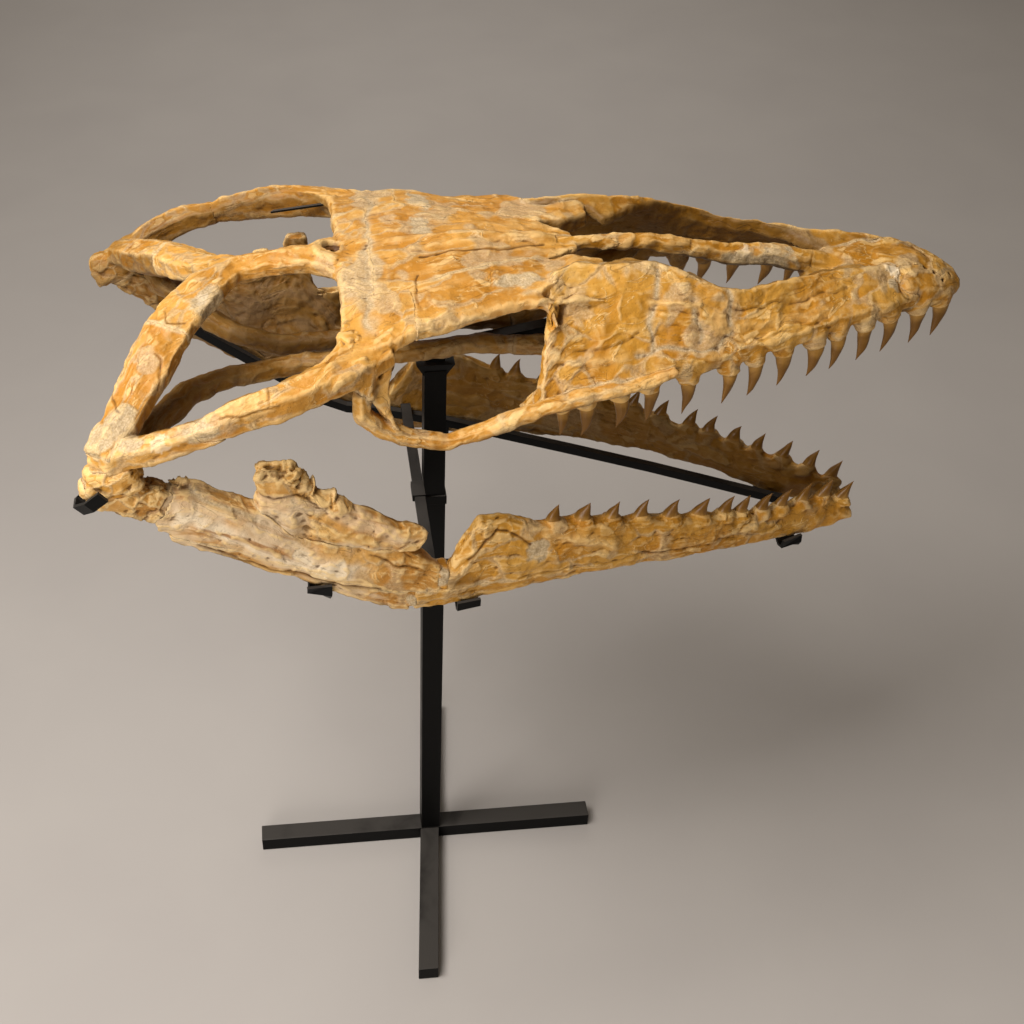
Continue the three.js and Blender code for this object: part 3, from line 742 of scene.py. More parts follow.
@dataclass(frozen=True)
class BoneFinish:
    """Varnished fossil bone: golden ochre slabs with cream lines and grey filler, painted brown shade
    in hollows and on faces turned inward or down, and painted highlight on raised edges.
    """

    name: str
    ochre: Colour = (0.56, 0.275, 0.050, 1)
    amber: Colour = (0.43, 0.180, 0.020, 1)
    tan: Colour = (0.62, 0.350, 0.095, 1)
    # Pale cream of chips, sutures, streaks and mottle, also laid as painted highlight on raised edges
    # and ridges.
    cream: Colour = (0.82, 0.570, 0.250, 1)
    # Dark brown of cracks and pores, also laid as painted shade in hollows and sunk holes.
    hollow: Colour = (0.095, 0.037, 0.006, 1)
    # Painted shade on faces turned inward or down.
    inner: Colour = (0.095, 0.038, 0.001, 1)
    filler: Colour = (0.41, 0.300, 0.165, 1)
    dust: Colour = (0.55, 0.425, 0.260, 1)
    chalk: Colour = (0.80, 0.655, 0.455, 1)
    rust: Colour = (0.30, 0.125, 0.030, 1)
    # Strength of the painted highlight on raised edges.
    edge: float = 0.35
    roughness: float = 0.50

    def _bone_tone(
        self, bench: Bench, place: object, grain: bpy.types.Node, veins: bpy.types.Node
    ) -> bpy.types.NodeSocket:
        """Colour of bare bone.

        Args:
            bench: The bench on the material's tree.
            place: Places on the bone.
            grain: The placed grain group.
            veins: The placed veins group.

        Returns:
            The colour output.
        """
        cloud = bench.noise(place, 9.0, 3.0, 0.5)
        tone = bench.mix(bench.span(cloud, 0.38, 0.64), self.amber, self.ochre)
        tone = bench.mix(bench.span(bench.kept("slab"), 0.25, 0.95, 0.75), tone, self.tan)
        mottle = bench.noise(place, 70.0, 5.0, 0.6)
        tone = bench.mix(bench.span(mottle, 0.54, 0.76, 0.35), tone, self.cream)
        tone = bench.mix(bench.span(mottle, 0.46, 0.30, 0.45), tone, self.amber)
        tone = bench.mix(bench.span(grain.outputs["Streak"], 0.55, 0.75, 0.25), tone, self.cream)
        tone = bench.mix(bench.span(grain.outputs["Fibre"], 0.54, 0.70, 0.22), tone, self.amber)
        tone = bench.mix(bench.scaled(veins.outputs["Vein"], 0.50), tone, self.cream)
        return bench.mix(bench.scaled(bench.kept("cream"), 0.60), tone, self.cream)

    def _patched_tone(
        self, bench: Bench, tone: object, pores: bpy.types.Node, streak: object
    ) -> bpy.types.NodeSocket:
        """Colour with filler and chalk laid over the bone.

        Args:
            bench: The bench on the material's tree.
            tone: Colour of bare bone.
            pores: The placed pores group.
            streak: Lengthwise streak value.

        Returns:
            The colour output.
        """
        stipple = bench.mix(bench.span(pores.outputs["Speck"], 0.42, 0.60), self.filler, self.dust)
        tone = bench.mix(bench.kept("filler"), tone, stipple)
        rusty = bench.mix(bench.span(streak, 0.47, 0.30, 0.9), self.chalk, self.rust)
        return bench.mix(bench.kept("chalk"), tone, rusty)

    def build(self, effects: Effects) -> bpy.types.Material:
        """Makes the material.

        Args:
            effects: The shared node groups.

        Returns:
            The new material.
        """
        material, bench, place = start_material(self.name)
        along = bench.kept("grain", "Vector")
        grain = effects.use(bench, effects.grain, Along=along)
        veins = effects.use(bench, effects.veins, Along=along)
        pores = effects.use(bench, effects.pores, Place=place)
        cavity = bench.kept("cavity")
        crack = bench.kept("crack")
        hair = bench.scaled(veins.outputs["Crack"], 0.35)

        tone = self._bone_tone(bench, place, grain, veins)
        tone = self._patched_tone(bench, tone, pores, grain.outputs["Streak"])
        # Painted highlight on raised edges and painted shade in hollows, read from the cavity layer.
        tone = bench.mix(bench.span(cavity, -0.15, -0.90, self.edge), tone, self.cream)
        tone = bench.mix(bench.span(cavity, 0.40, 1.30, 0.75), tone, self.hollow)
        # Painted shade from the inside layer.
        tone = bench.mix(bench.scaled(bench.kept("inside"), 0.85), tone, self.inner)
        tone = bench.mix(crack, tone, self.hollow)
        tone = bench.mix(hair, tone, self.hollow)
        tone = bench.mix(bench.scaled(pores.outputs["Pore"], 0.15), tone, self.hollow)

        rough = bench.math("MULTIPLY_ADD", pores.outputs["Speck"], 0.25, self.roughness - 0.12)
        height = bench.scaled(grain.outputs["Fibre"], 0.40)
        height = bench.math("ADD", height, bench.scaled(grain.outputs["Streak"], 0.8))
        height = bench.math("ADD", height, bench.scaled(bench.noise(place, 150.0, 4.0), 0.8))
        height = bench.math("ADD", height, bench.scaled(veins.outputs["Vein"], 0.30))
        height = bench.math("SUBTRACT", height, bench.scaled(hair, 0.8))
        height = bench.math("SUBTRACT", height, bench.scaled(pores.outputs["Pore"], 0.25))
        gloss = {"Coat Weight": 0.02, "Coat Roughness": 0.40, "Specular IOR Level": 0.17}
        close_material(bench, tone, rough, gloss, (height, 0.85, 1.5 * MM))
        return material


@dataclass(frozen=True)
class EnamelFinish:
    """Polished brown tooth enamel, tan and banded, darker toward the tip."""

    name: str
    root: Colour = (0.34, 0.175, 0.036, 1)
    crown: Colour = (0.155, 0.068, 0.009, 1)
    tan: Colour = (0.38, 0.21, 0.05, 1)
    roughness: float = 0.22

    def build(self, effects: Effects) -> bpy.types.Material:
        """Makes the material.

        Args:
            effects: The shared node groups.

        Returns:
            The new material.
        """
        material, bench, place = start_material(self.name)
        grain = effects.use(bench, effects.grain, Along=bench.kept("grain", "Vector"), Fineness=2.2)
        pores = effects.use(bench, effects.pores, Place=place, Fineness=700.0, Share=0.64)
        rise = bench.kept("rise")
        patch = bench.noise(place, 55.0, 3.0, 0.8)
        edge = bench.math("ADD", rise, bench.scaled(patch, 0.5))
        tone = bench.mix(bench.span(edge, 0.50, 0.85), self.root, self.crown)
        streak = bench.span(grain.outputs["Streak"], 0.56, 0.74, 0.40)
        tone = bench.mix(streak, tone, self.tan)
        tone = bench.mix(bench.scaled(pores.outputs["Pore"], 0.5), tone, self.crown)
        rough = bench.math("MULTIPLY_ADD", pores.outputs["Speck"], 0.2, self.roughness)
        height = bench.math("ADD", grain.outputs["Streak"], bench.scaled(grain.outputs["Fibre"], 0.4))
        gloss = {"Coat Weight": 0.15, "Coat Roughness": 0.2, "Specular IOR Level": 0.22}
        close_material(bench, tone, rough, gloss, (height, 0.6, 0.5 * MM))
        return material


@dataclass(frozen=True)
class SteelFinish:
    """Black satin paint on steel, with pale specks, and pale on faces that look up: partly dust, partly
    painted sheen.
    """

    name: str
    paint: Colour = (0.0022, 0.0021, 0.0020, 1)
    # Pale grey of the specks, and of faces that look up: partly dust, partly painted sheen.
    dust: Colour = (0.055, 0.050, 0.045, 1)
    roughness: float = 0.36

    def build(self, effects: Effects) -> bpy.types.Material:
        """Makes the material.

        Args:
            effects: The shared node groups.

        Returns:
            The new material.
        """
        material, bench, place = start_material(self.name)
        pores = effects.use(bench, effects.pores, Place=place, Fineness=900.0, Share=0.66)
        cloud = bench.noise(place, 14.0, 5.0, 0.4)
        facing = bench.add("ShaderNodeNewGeometry").outputs["Normal"]
        up = bench.add("ShaderNodeSeparateXYZ")
        bench.feed(up.inputs[0], facing)
        # Faces that look up turn pale: partly dust, partly painted sheen.
        level = bench.span(up.outputs["Z"], 0.3, 0.95)
        dust_and_sheen = bench.math("MULTIPLY", level, bench.span(cloud, 0.10, 0.55))
        tone = bench.mix(bench.scaled(dust_and_sheen, 0.95), self.paint, self.dust)
        tone = bench.mix(bench.scaled(pores.outputs["Pore"], 0.35), tone, self.dust)
        rough = bench.math("MULTIPLY_ADD", cloud, 0.3, self.roughness - 0.1)
        relief = (pores.outputs["Speck"], 0.35, 0.3 * MM)
        close_material(bench, tone, rough, {"Specular IOR Level": 0.10}, relief)
        return material


# ---------------------------------------------------------------- teeth


@dataclass(frozen=True)
class Tooth:
    """One tooth, read from its solid: root, middle and tip, and its half widths at the root."""

    root: Vector
    middle: Vector
    tip: Vector
    long: float
    wide: float
    hook: float

    def centre(self, share: float) -> Vector:
        """Place on the bent axis, from the root at 0 to the tip at 1.

        Args:
            share: How far along the axis.

        Returns:
            The place.
        """
        control = 2 * self.middle - (self.root + self.tip) / 2 + Vector((self.hook, 0, 0))
        before = self.root.lerp(control, share)
        after = control.lerp(self.tip, share)
        return before.lerp(after, share)


RING = 6  # corners in the ring round the middle of a modelled tooth
RING_LONG = 0.65  # half length of that ring as a share of the root's
RING_WIDE = 0.75  # half width of that ring as a share of the root's
LEAST_RISE = 10 * MM  # how far a tip stands clear of its ring


def teeth_of(solid: bmesh.types.BMesh, jaw: Jaw) -> list[Tooth]:
    """Finds the teeth on a bone: each tip is a corner that stands clear of all its neighbours.

    Args:
        solid: The bone's solid with shared corners.
        jaw: The jaw, which says which way the tips point.

    Returns:
        The teeth from rear to front.
    """
    found = []
    for corner in solid.verts:
        around = [edge.other_vert(corner).co for edge in corner.link_edges]
        rise = min((corner.co.z - place.z) * jaw.value for place in around)
        if rise < LEAST_RISE or len(around) != RING:
            continue
        middle = sum(around, Vector()) / len(around)
        long = max(abs(place.x - middle.x) for place in around) / RING_LONG
        wide = max(abs(place.y - middle.y) for place in around) / RING_WIDE
        root = 2 * middle - corner.co - Vector((2 * jaw.bend, 0, 0))
        found.append(Tooth(root, middle, corner.co.copy(), long, wide, jaw.bend))
    return sorted(found, key=lambda tooth: tooth.tip.x)


@dataclass
class Crowns:
    """The tooth crowns of one bone, as fine closed cones."""

    name: str
    teeth: list[Tooth]
    sides: int = 20
    cuts: int = 13
    fit: float = 0.96
    blunt: float = 0.03
    ridges: int = 7
    ridge: float = 0.018

    def width(self, share: float) -> float:
        """Half width of a crown along its axis, as a share of the root's."""
        body = max(1 - share**1.6, 0.0) ** 0.9
        return self.fit * max(body, self.blunt)

    def _crown(self, tooth: Tooth, number: int) -> bpy.types.Mesh:
        """Models one crown round the bent axis of its tooth.

        Args:
            tooth: The tooth.
            number: Its place in the row, which shifts its marks.

        Returns:
            A closed mesh that keeps its rise and its grain.
        """
        crown = bmesh.new()
        bmesh.ops.create_cone(
            crown, cap_ends=True, segments=self.sides, radius1=1, radius2=0.02, depth=1
        )
        walls = [e for e in crown.edges if abs(e.verts[0].co.z - e.verts[1].co.z) > 0.5]
        bmesh.ops.subdivide_edges(crown, edges=walls, cuts=self.cuts)
        rise_layer = crown.verts.layers.float.new("rise")
        grain_layer = crown.verts.layers.float_vector.new("grain")
        length = (tooth.tip - tooth.root).length
        for corner in crown.verts:
            share = corner.co.z + 0.5
            angle = math.atan2(corner.co.y, corner.co.x)
            wave = 1 + self.ridge * math.sin(self.ridges * angle + number) * (1 - share)
            reach = self.width(share) * wave
            x = math.cos(angle) * tooth.long * reach
            y = math.sin(angle) * tooth.wide * reach
            corner.co = tooth.centre(share) + Vector((x, y, 0))
            corner[rise_layer] = share
            corner[grain_layer] = Vector((share * length + number, angle * tooth.long, 0.03 * number))
        bmesh.ops.recalc_face_normals(crown, faces=crown.faces)
        mesh = mesh_of(crown, "crown")
        move_to(mesh, swayed(places_of(mesh)))
        return mesh

    def build(self) -> bpy.types.Mesh:
        """Models all the crowns of the row as one mesh.

        Returns:
            The mesh.
        """
        row = bmesh.new()
        for number, tooth in enumerate(self.teeth):
            absorb(row, self._crown(tooth, number))
        return mesh_of(row, self.name)


def add_sockets(solid: bmesh.types.BMesh, teeth: list[Tooth]) -> None:
    """Adds a flared collar of bone round the root of each tooth.

    Args:
        solid: The bone that they stand on.
        teeth: The teeth.
    """
    for tooth in teeth:
        low, high = tooth.centre(0.0), tooth.centre(0.36)
        turn = (high - low).to_track_quat("Z", "Y").to_matrix().to_4x4()
        made = bmesh.ops.create_cone(
            solid,
            cap_ends=True,
            segments=18,
            radius1=tooth.long * 1.5,
            radius2=tooth.long * 0.90,
            depth=(high - low).length,
            matrix=Matrix.Translation((low + high) / 2) @ turn,
        )["verts"]
        flatter = tooth.wide / tooth.long
        middle = (low + high) / 2
        for corner in made:
            corner.co.y = middle.y + (corner.co.y - middle.y) * flatter


# ---------------------------------------------------------------- marks


@dataclass(frozen=True)
class At:
    """A place given as shares of a node's box."""

    node: str
    x: float
    y: float
    z: float

    def place(self) -> np.ndarray:
        """The place in the shared frame."""
        low, high = (np.array(corner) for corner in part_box(self.node))
        return low + (high - low) * np.array([self.x, self.y, self.z])


def line(node: str, *shares: Triple) -> tuple[At, ...]:
    """Places on one node."""
    return tuple(At(node, *share) for share in shares)


class Mark:
    """Something that happened at one place of the skull: it raises the surface and colours it."""

    layers: Layers

    def near(self, places: np.ndarray) -> np.ndarray:
        """Mask of the points that the mark can reach."""
        raise NotImplementedError

    def shape(self, places: np.ndarray, outward: np.ndarray) -> tuple[np.ndarray, np.ndarray]:
        """Height and strength of the mark at each point."""
        raise NotImplementedError


@dataclass(frozen=True)
class Stroke(Mark):
    """A ridge, furrow or seam along a line that wanders a little."""

    line: tuple[At, ...]
    height: float
    width: float
    layers: Layers = ()
    wander: float = 3 * MM

    def near(self, places: np.ndarray) -> np.ndarray:
        """Mask of the points that the stroke can reach.

        Args:
            places: Points, one row each.

        Returns:
            The mask.
        """
        spots = np.array([at.place() for at in self.line])
        room = 3 * self.width + 2 * self.wander
        return np.all((places > spots.min(axis=0) - room) & (places < spots.max(axis=0) + room), axis=1)

    def shape(self, places: np.ndarray, outward: np.ndarray) -> tuple[np.ndarray, np.ndarray]:
        """Height and strength of the stroke.

        Args:
            places: Points, one row each.
            outward: Outward direction at each point.

        Returns:
            The height and the strength at each point.
        """
        moved = places + WANDER.shift(places, 20 * MM) * self.wander
        best = np.full(len(places), 1.0)
        spots = [at.place() for at in self.line]
        for start, end in zip(spots, spots[1:]):
            reach = end - start
            along = np.clip((moved - start) @ reach / max(reach @ reach, 1e-12), 0, 1)
            gap = moved - start - along[:, None] * reach
            depth = np.einsum("ij,ij->i", gap, outward)
            flat = gap - (0.9 * np.clip(depth, -9 * MM, 9 * MM))[:, None] * outward
            best = np.minimum(best, np.linalg.norm(flat, axis=1))
        uneven = 1 + 0.4 * WANDER.at(places + 2.2, 14 * MM)
        strength = np.exp(-((best / (self.width * uneven)) ** 2))
        return self.height * strength, strength


@dataclass(frozen=True)
class Patch(Mark):
    """A raised or sunk patch with a ragged edge."""

    at: At
    reach: float
    height: float = 0.0
    layers: Layers = ()
    stretch: Triple = (1.0, 1.0, 1.0)
    ragged: float = 0.45

    def near(self, places: np.ndarray) -> np.ndarray:
        """Mask of the points that the patch can reach."""
        gap = (places - self.at.place()) * self.stretch
        return np.linalg.norm(gap, axis=1) < 2.2 * self.reach

    def shape(self, places: np.ndarray, outward: np.ndarray) -> tuple[np.ndarray, np.ndarray]:
        """Height and strength of the patch.

        Args:
            places: Points, one row each.
            outward: Outward direction at each point.

        Returns:
            The height and the strength at each point.
        """
        gap = np.linalg.norm((places - self.at.place()) * self.stretch, axis=1) / self.reach
        torn = self.ragged * LUMPS.layered(places + 1.0, 0.9 * self.reach, 3)
        strength = 1 - ramp(gap + torn, 0.70, 1.0)
        return self.height * strength, strength


@dataclass(frozen=True)
class Web:
    """A web of bone that fills the corner between two bones and has a hollow edge."""

    corner: At
    arms: tuple[At, At]
    thick: float
    sag: float = 0.25

    def shape(self) -> bpy.types.Mesh:
        """Models the web as a three-sided plate whose long edge is bent in.

        Returns:
            The mesh of the web.
        """
        corner = Vector(self.corner.place())
        first, last = (Vector(arm.place()) for arm in self.arms)
        bend = corner.lerp((first + last) / 2, self.sag)
        shares = [step / 6 for step in range(7)]
        edge = [first.lerp(bend, share).lerp(bend.lerp(last, share), share) for share in shares]
        solid = bmesh.new()
        plate = solid.faces.new([solid.verts.new(place) for place in (corner, *edge)])
        plate.normal_update()
        across = plate.normal * self.thick
        bmesh.ops.translate(solid, vec=-across / 2, verts=solid.verts)
        sides = bmesh.ops.extrude_face_region(solid, geom=[plate], use_keep_orig=True)["geom"]
        risen = [item for item in sides if isinstance(item, bmesh.types.BMVert)]
        bmesh.ops.translate(solid, vec=across, verts=risen)
        bmesh.ops.recalc_face_normals(solid, faces=solid.faces)
        return mesh_of(solid, "web")


DARK = (("crack", 0.7), ("filler", -1.0), ("cream", -1.0))
FAINT = (("crack", 0.22), ("cream", -0.8))
FILLED = (("filler", 0.95),)
SEAM = (("filler", 0.95), ("cream", -1.0))
# CREAM and BRIGHT, like the other cream on raised ridges, rims and knobs below, lay pale cream: partly
# pale bone, partly painted highlight.
CREAM = (("cream", 0.6), ("filler", -0.9))
CHALKY = (("chalk", 0.95), ("crack", -0.8))
PALE = (("cream", 0.3),)
BRIGHT = (("cream", 0.5),)
# HOLE paints sunk holes in the dark crack colour: painted shade.
HOLE = (("crack", 1.0),)


def stroke(
    node: str, height: float, width: float, layers: Layers, *shares: Triple, wander: float = 3
) -> Stroke:
    """A stroke along places on one node, with its sizes in millimetres."""
    return Stroke(line(node, *shares), height * MM, width * MM, layers, wander * MM)


def patch(
    node: str,
    share: Triple,
    reach: float,
    height: float = 0,
    layers: Layers = (),
    stretch: Triple = (1.0, 1.0, 1.0),
    ragged: float = 0.45,
) -> Patch:
    """A patch at a place on one node, with its sizes in millimetres."""
    return Patch(At(node, *share), reach * MM, height * MM, layers, stretch, ragged)


ROOF_MARKS = (
    stroke(
        "frontal", 1.8, 4.5, (("cream", 0.35),),
        (0.21, 0.41, 0.78), (0.38, 0.43, 0.83), (0.57, 0.45, 0.81), (0.77, 0.48, 0.79),
        (0.91, 0.55, 0.59),
    ),
    stroke(
        "frontal", -1.2, 1.8, DARK,
        (0.23, 0.32, 0.78), (0.40, 0.35, 0.83), (0.61, 0.36, 0.79), (0.84, 0.44, 0.64),
    ),
    Stroke(
        line("postorbitofrontal_left", (0.88, 0.43, 0.84))
        + line("frontal", (0.00, 0.67, 0.67))
        + line("parietal", (0.97, 0.32, 0.97))
        + line("postorbitofrontal_right", (0.82, 0.83, 0.93), (0.80, 0.56, 0.82)),
        -1.4 * MM, 7 * MM, (("filler", 0.9), ("cream", -0.8)), 9 * MM,
    ),
    stroke(
        "prefrontal_right", -1, 1.4, DARK,
        (0.05, 0.75, 0.85), (0.02, 0.45, 0.80), (0.03, 0.25, 0.60), (0.02, 0.02, 0.33),
    ),
    stroke(
        "prefrontal_right", 1.2, 7, PALE,
        (0.08, 0.12, 0.50), (0.28, 0.22, 0.60), (0.47, 0.29, 0.56), (0.65, 0.32, 0.65),
    ),
    patch("postorbitofrontal_right", (0.70, 0.51, 0.75), 12, 2.6),
    # Painted shade over the far quadrate.
    patch("quadrate_left", (0.50, 0.50, 0.50), 70, 0, (("inside", 0.5),), ragged=0.2),
    patch("prefrontal_right", (0.52, 0.59, 0.83), 20, 0.3, FILLED, (0.6, 1.2, 1.0)),
    patch("frontal", (0.25, 0.66, 0.79), 20, 0.3, FILLED, (1.3, 0.6, 1.0)),
    patch("prefrontal_left", (0.12, 0.55, 0.82), 20, 0.3, FILLED, (1.3, 0.6, 1.0)),
    patch("parietal", (0.94, 0.21, 0.93), 34, 0.2, (("filler", 0.75),), (1.2, 0.6, 1.0)),
    patch("postorbitofrontal_left", (0.88, 0.43, 0.84), 34, 0.2, (("filler", 0.7),), (1.2, 0.6, 1.0)),
    # Pineal hole, sunk and painted dark inside: painted shade.
    patch("parietal", (0.83, 0.53, 0.87), 13, -9, HOLE, (1.0, 0.8, 0.7), ragged=0.15),
    stroke(
        "parietal", 3.4, 5, (("cream", 0.3), ("filler", -0.8)),
        (0.83, 0.63, 0.87), (0.78, 0.61, 0.87), (0.758, 0.53, 0.87), (0.78, 0.45, 0.87),
        (0.83, 0.43, 0.87), wander=1,
    ),
)

ARCH_MARKS = (
    patch("parietal", (0.30, 0.19, 0.72), 26, 0.4, FILLED),
    patch("parietal", (0.28, 0.19, 0.77), 11, 0.4, (("chalk", 0.4),), ragged=0.8),
    stroke(
        "parietal", -0.8, 1.3, DARK,
        (0.10, 0.14, 0.72), (0.12, 0.06, 0.69), (0.19, 0.05, 0.65), (0.24, 0.07, 0.52),
    ),
    stroke(
        "supratemporal_right", -0.8, 1.3, DARK,
        (0.60, 0.70, 0.80), (0.68, 0.64, 0.84), (0.72, 0.61, 0.81), (0.70, 0.45, 0.60),
    ),
    stroke(
        "supratemporal_right", -0.8, 1.3, DARK,
        (0.24, 0.55, 0.60), (0.24, 0.41, 0.54), (0.34, 0.25, 0.50),
    ),
    patch("supratemporal_right", (0.34, 0.19, 0.45), 24, 1, FILLED),
    patch("supratemporal_right", (0.11, 0.14, 0.33), 22, 1.4, FILLED),
    patch("squamosal_right", (0.32, 0.33, 0.60), 18, 0.8, FILLED),
    patch(
        "squamosal_right", (0.53, 0.13, 0.72), 10, 0.3, (("chalk", 0.6),), (0.7, 1.0, 1.0), ragged=0.8,
    ),
    # Painted highlight on the rear bar, laid as a cream patch.
    patch("postorbitofrontal_right", (0.21, 0.06, 0.45), 18, 0.4, CREAM, (0.5, 1.0, 1.0)),
    patch("postorbitofrontal_right", (0.03, 0.02, 0.21), 20, 0.4, FILLED),
    stroke(
        "postorbitofrontal_right", -0.8, 1.3, DARK,
        (0.33, 0.15, 0.60), (0.33, 0.10, 0.56), (0.33, 0.04, 0.45),
    ),
    stroke(
        "postorbitofrontal_right", -0.8, 1.3, DARK,
        (0.12, 0.03, 0.36), (0.25, 0.02, 0.40), (0.38, 0.03, 0.46),
    ),
)

SNOUT_MARKS = (
    patch(
        "prefrontal_right", (0.68, 0.21, 0.38), 20, -5, (("cream", -0.9),), (0.7, 0.7, 1.0), ragged=0.1,
    ),
    patch("maxilla_right", (0.13, 0.40, 0.80), 24, 0.8, (("filler", 0.5), ("cream", -0.8)), ragged=0.6),
    stroke("premaxilla", -0.8, 1.3, DARK, (0.35, 0.30, 0.75), (0.35, 0.40, 0.89), (0.36, 0.50, 0.95)),
    stroke("premaxilla", -0.8, 1.3, DARK, (0.52, 0.34, 0.66), (0.52, 0.39, 0.72), (0.53, 0.50, 0.84)),
    stroke("premaxilla", -0.8, 1.3, DARK, (0.63, 0.34, 0.66), (0.63, 0.40, 0.74), (0.64, 0.50, 0.80)),
    patch("premaxilla", (0.48, 0.42, 0.83), 8, 0.5, (("chalk", 0.7),), ragged=0.7),
    patch("premaxilla", (0.50, 0.38, 0.70), 22, 0.5, FILLED, (0.4, 1.0, 1.0)),
    patch("premaxilla", (0.19, 0.46, 0.95), 14, 1.4, PALE, (0.7, 1.0, 1.0), ragged=0.2),
    stroke(
        "maxilla_right", -0.9, 4, SEAM,
        (0.32, 0.57, 0.95), (0.31, 0.43, 0.81), (0.30, 0.29, 0.66), (0.31, 0.22, 0.55), wander=5,
    ),
    stroke(
        "maxilla_right", -0.9, 5, SEAM,
        (0.41, 0.43, 0.79), (0.41, 0.35, 0.70), (0.42, 0.27, 0.58), wander=5,
    ),
    stroke(
        "maxilla_right", -0.9, 4.5, SEAM,
        (0.49, 0.48, 0.82), (0.50, 0.41, 0.71), (0.49, 0.31, 0.58), (0.46, 0.25, 0.51), wander=5,
    ),
    stroke(
        "maxilla_right", -1.2, 3.5, SEAM,
        (0.27, 0.19, 0.52), (0.31, 0.22, 0.55), (0.37, 0.23, 0.54), (0.46, 0.25, 0.51), wander=5,
    ),
    stroke("maxilla_right", 2, 4, CREAM, (0.30, 0.42, 0.80), (0.36, 0.41, 0.78), (0.42, 0.40, 0.76)),
    stroke("maxilla_right", -1, 2, FAINT, (0.30, 0.38, 0.76), (0.36, 0.37, 0.74), (0.42, 0.36, 0.72)),
    stroke(
        "maxilla_right", -1.4, 2.6, FAINT,
        (0.08, 0.21, 0.62), (0.17, 0.19, 0.58), (0.22, 0.21, 0.58), (0.27, 0.27, 0.65),
    ),
    stroke("maxilla_right", 1.8, 5, BRIGHT, (0.09, 0.16, 0.56), (0.17, 0.14, 0.53), (0.24, 0.17, 0.53)),
    stroke(
        "maxilla_right", 1.8, 6, PALE,
        (0.50, 0.36, 0.62), (0.58, 0.40, 0.60), (0.66, 0.46, 0.59), (0.75, 0.53, 0.57), wander=6,
    ),
    stroke(
        "maxilla_right", -1.2, 2.4, FAINT,
        (0.50, 0.42, 0.71), (0.60, 0.49, 0.67), (0.69, 0.58, 0.67), (0.80, 0.70, 0.67), wander=6,
    ),
    stroke(
        "maxilla_right", -1.2, 2.4, FAINT,
        (0.48, 0.29, 0.55), (0.56, 0.32, 0.54), (0.64, 0.38, 0.54), (0.74, 0.49, 0.52), wander=6,
    ),
    patch("maxilla_right", (0.46, 0.35, 0.66), 16, 0.8, CREAM),
    patch("maxilla_right", (0.93, 0.88, 0.70), 10, 0.9, CHALKY, ragged=0.8),
    patch("maxilla_right", (0.93, 0.80, 0.62), 10, 0.6, FILLED),
    stroke(
        "maxilla_right", -0.8, 1.3, DARK,
        (0.93, 0.84, 0.66), (0.95, 0.74, 0.56), (0.98, 0.72, 0.53),
    ),
    # Small holes in the snout tip, painted dark inside: painted shade.
    patch("premaxilla", (0.89, 0.27, 0.66), 3.5, -2.5, HOLE, ragged=0.1),
    patch("premaxilla", (0.91, 0.22, 0.63), 3.5, -2.5, HOLE, ragged=0.1),
    patch("premaxilla", (0.96, 0.31, 0.55), 3.5, -2.5, HOLE, ragged=0.1),
    patch("premaxilla", (0.93, 0.20, 0.55), 3, -2.5, HOLE, ragged=0.1),
)

REAR_JAW_MARKS = (
    patch("coronoid_right", (0.30, 0.42, 0.78), 17, 9, PALE, ragged=0.25),
    patch("coronoid_right", (0.39, 0.36, 0.69), 19, 6, PALE, ragged=0.3),
    patch("coronoid_right", (0.50, 0.32, 0.58), 19, 3, ragged=0.4),
    patch("coronoid_right", (0.27, 0.20, 1.00), 12, -6, ragged=0.3),
    patch("coronoid_right", (0.00, 0.15, 1.00), 11, -4, ragged=0.4),
    patch("surangular_right", (0.09, 0.35, 0.98), 8, 3.5, (("cream", 0.4),), ragged=0.8),
    stroke(
        "surangular_right", -0.8, 7, FILLED,
        (0.12, 0.20, 0.95), (0.18, 0.15, 0.91), (0.25, 0.17, 0.83), (0.34, 0.20, 0.74), wander=6,
    ),
    stroke(
        "surangular_right", 0.5, 15, (("chalk", 0.95), ("filler", -0.7)),
        (0.08, 0.10, 0.84), (0.15, 0.07, 0.78), (0.25, 0.10, 0.67), (0.35, 0.14, 0.54),
        (0.45, 0.18, 0.42), (0.55, 0.23, 0.33), (0.66, 0.28, 0.26), wander=8,
    ),
    stroke(
        "angular_right", -1.6, 2.6, (("crack", 0.65), ("chalk", -0.8)),
        (0.11, 0.07, 0.89), (0.27, 0.17, 0.70), (0.52, 0.23, 0.51), (0.86, 0.35, 0.29),
    ),
    stroke(
        "coronoid_right", -1.4, 1.8, DARK,
        (0.02, 0.16, 0.84), (0.03, 0.10, 0.81), (0.12, 0.03, 0.73), (0.27, 0.13, 0.73),
    ),
    # A dent with painted shade in it.
    patch("coronoid_right", (0.13, 0.14, 0.99), 12, -2.4, (("inside", 0.6),), ragged=0.8),
    patch("coronoid_right", (0.03, 0.10, 0.97), 10, 3, BRIGHT, ragged=0.7),
    patch("coronoid_right", (0.24, 0.20, 0.90), 10, 2.6, ragged=0.7),
    patch("coronoid_right", (0.05, 0.05, 0.93), 8, 1.6, (("cream", 0.7),)),
    patch("coronoid_right", (0.32, 0.43, 0.72), 9, 3),
    stroke(
        "coronoid_right", 1.6, 6, (("cream", 0.6),),
        (0.12, 0.05, 0.62), (0.25, 0.13, 0.42), (0.48, 0.21, 0.28), (0.80, 0.36, 0.16), wander=6,
    ),
    patch("surangular_right", (0.60, 0.25, 0.30), 18, 1.2, CHALKY, (0.6, 1.0, 1.0)),
    patch("surangular_right", (0.48, 0.19, 0.42), 15, -0.6, FILLED),
    stroke(
        "surangular_right", -1.4, 1.8, DARK,
        (0.75, 0.33, 0.38), (0.83, 0.40, 0.25), (0.92, 0.50, 0.20),
    ),
)

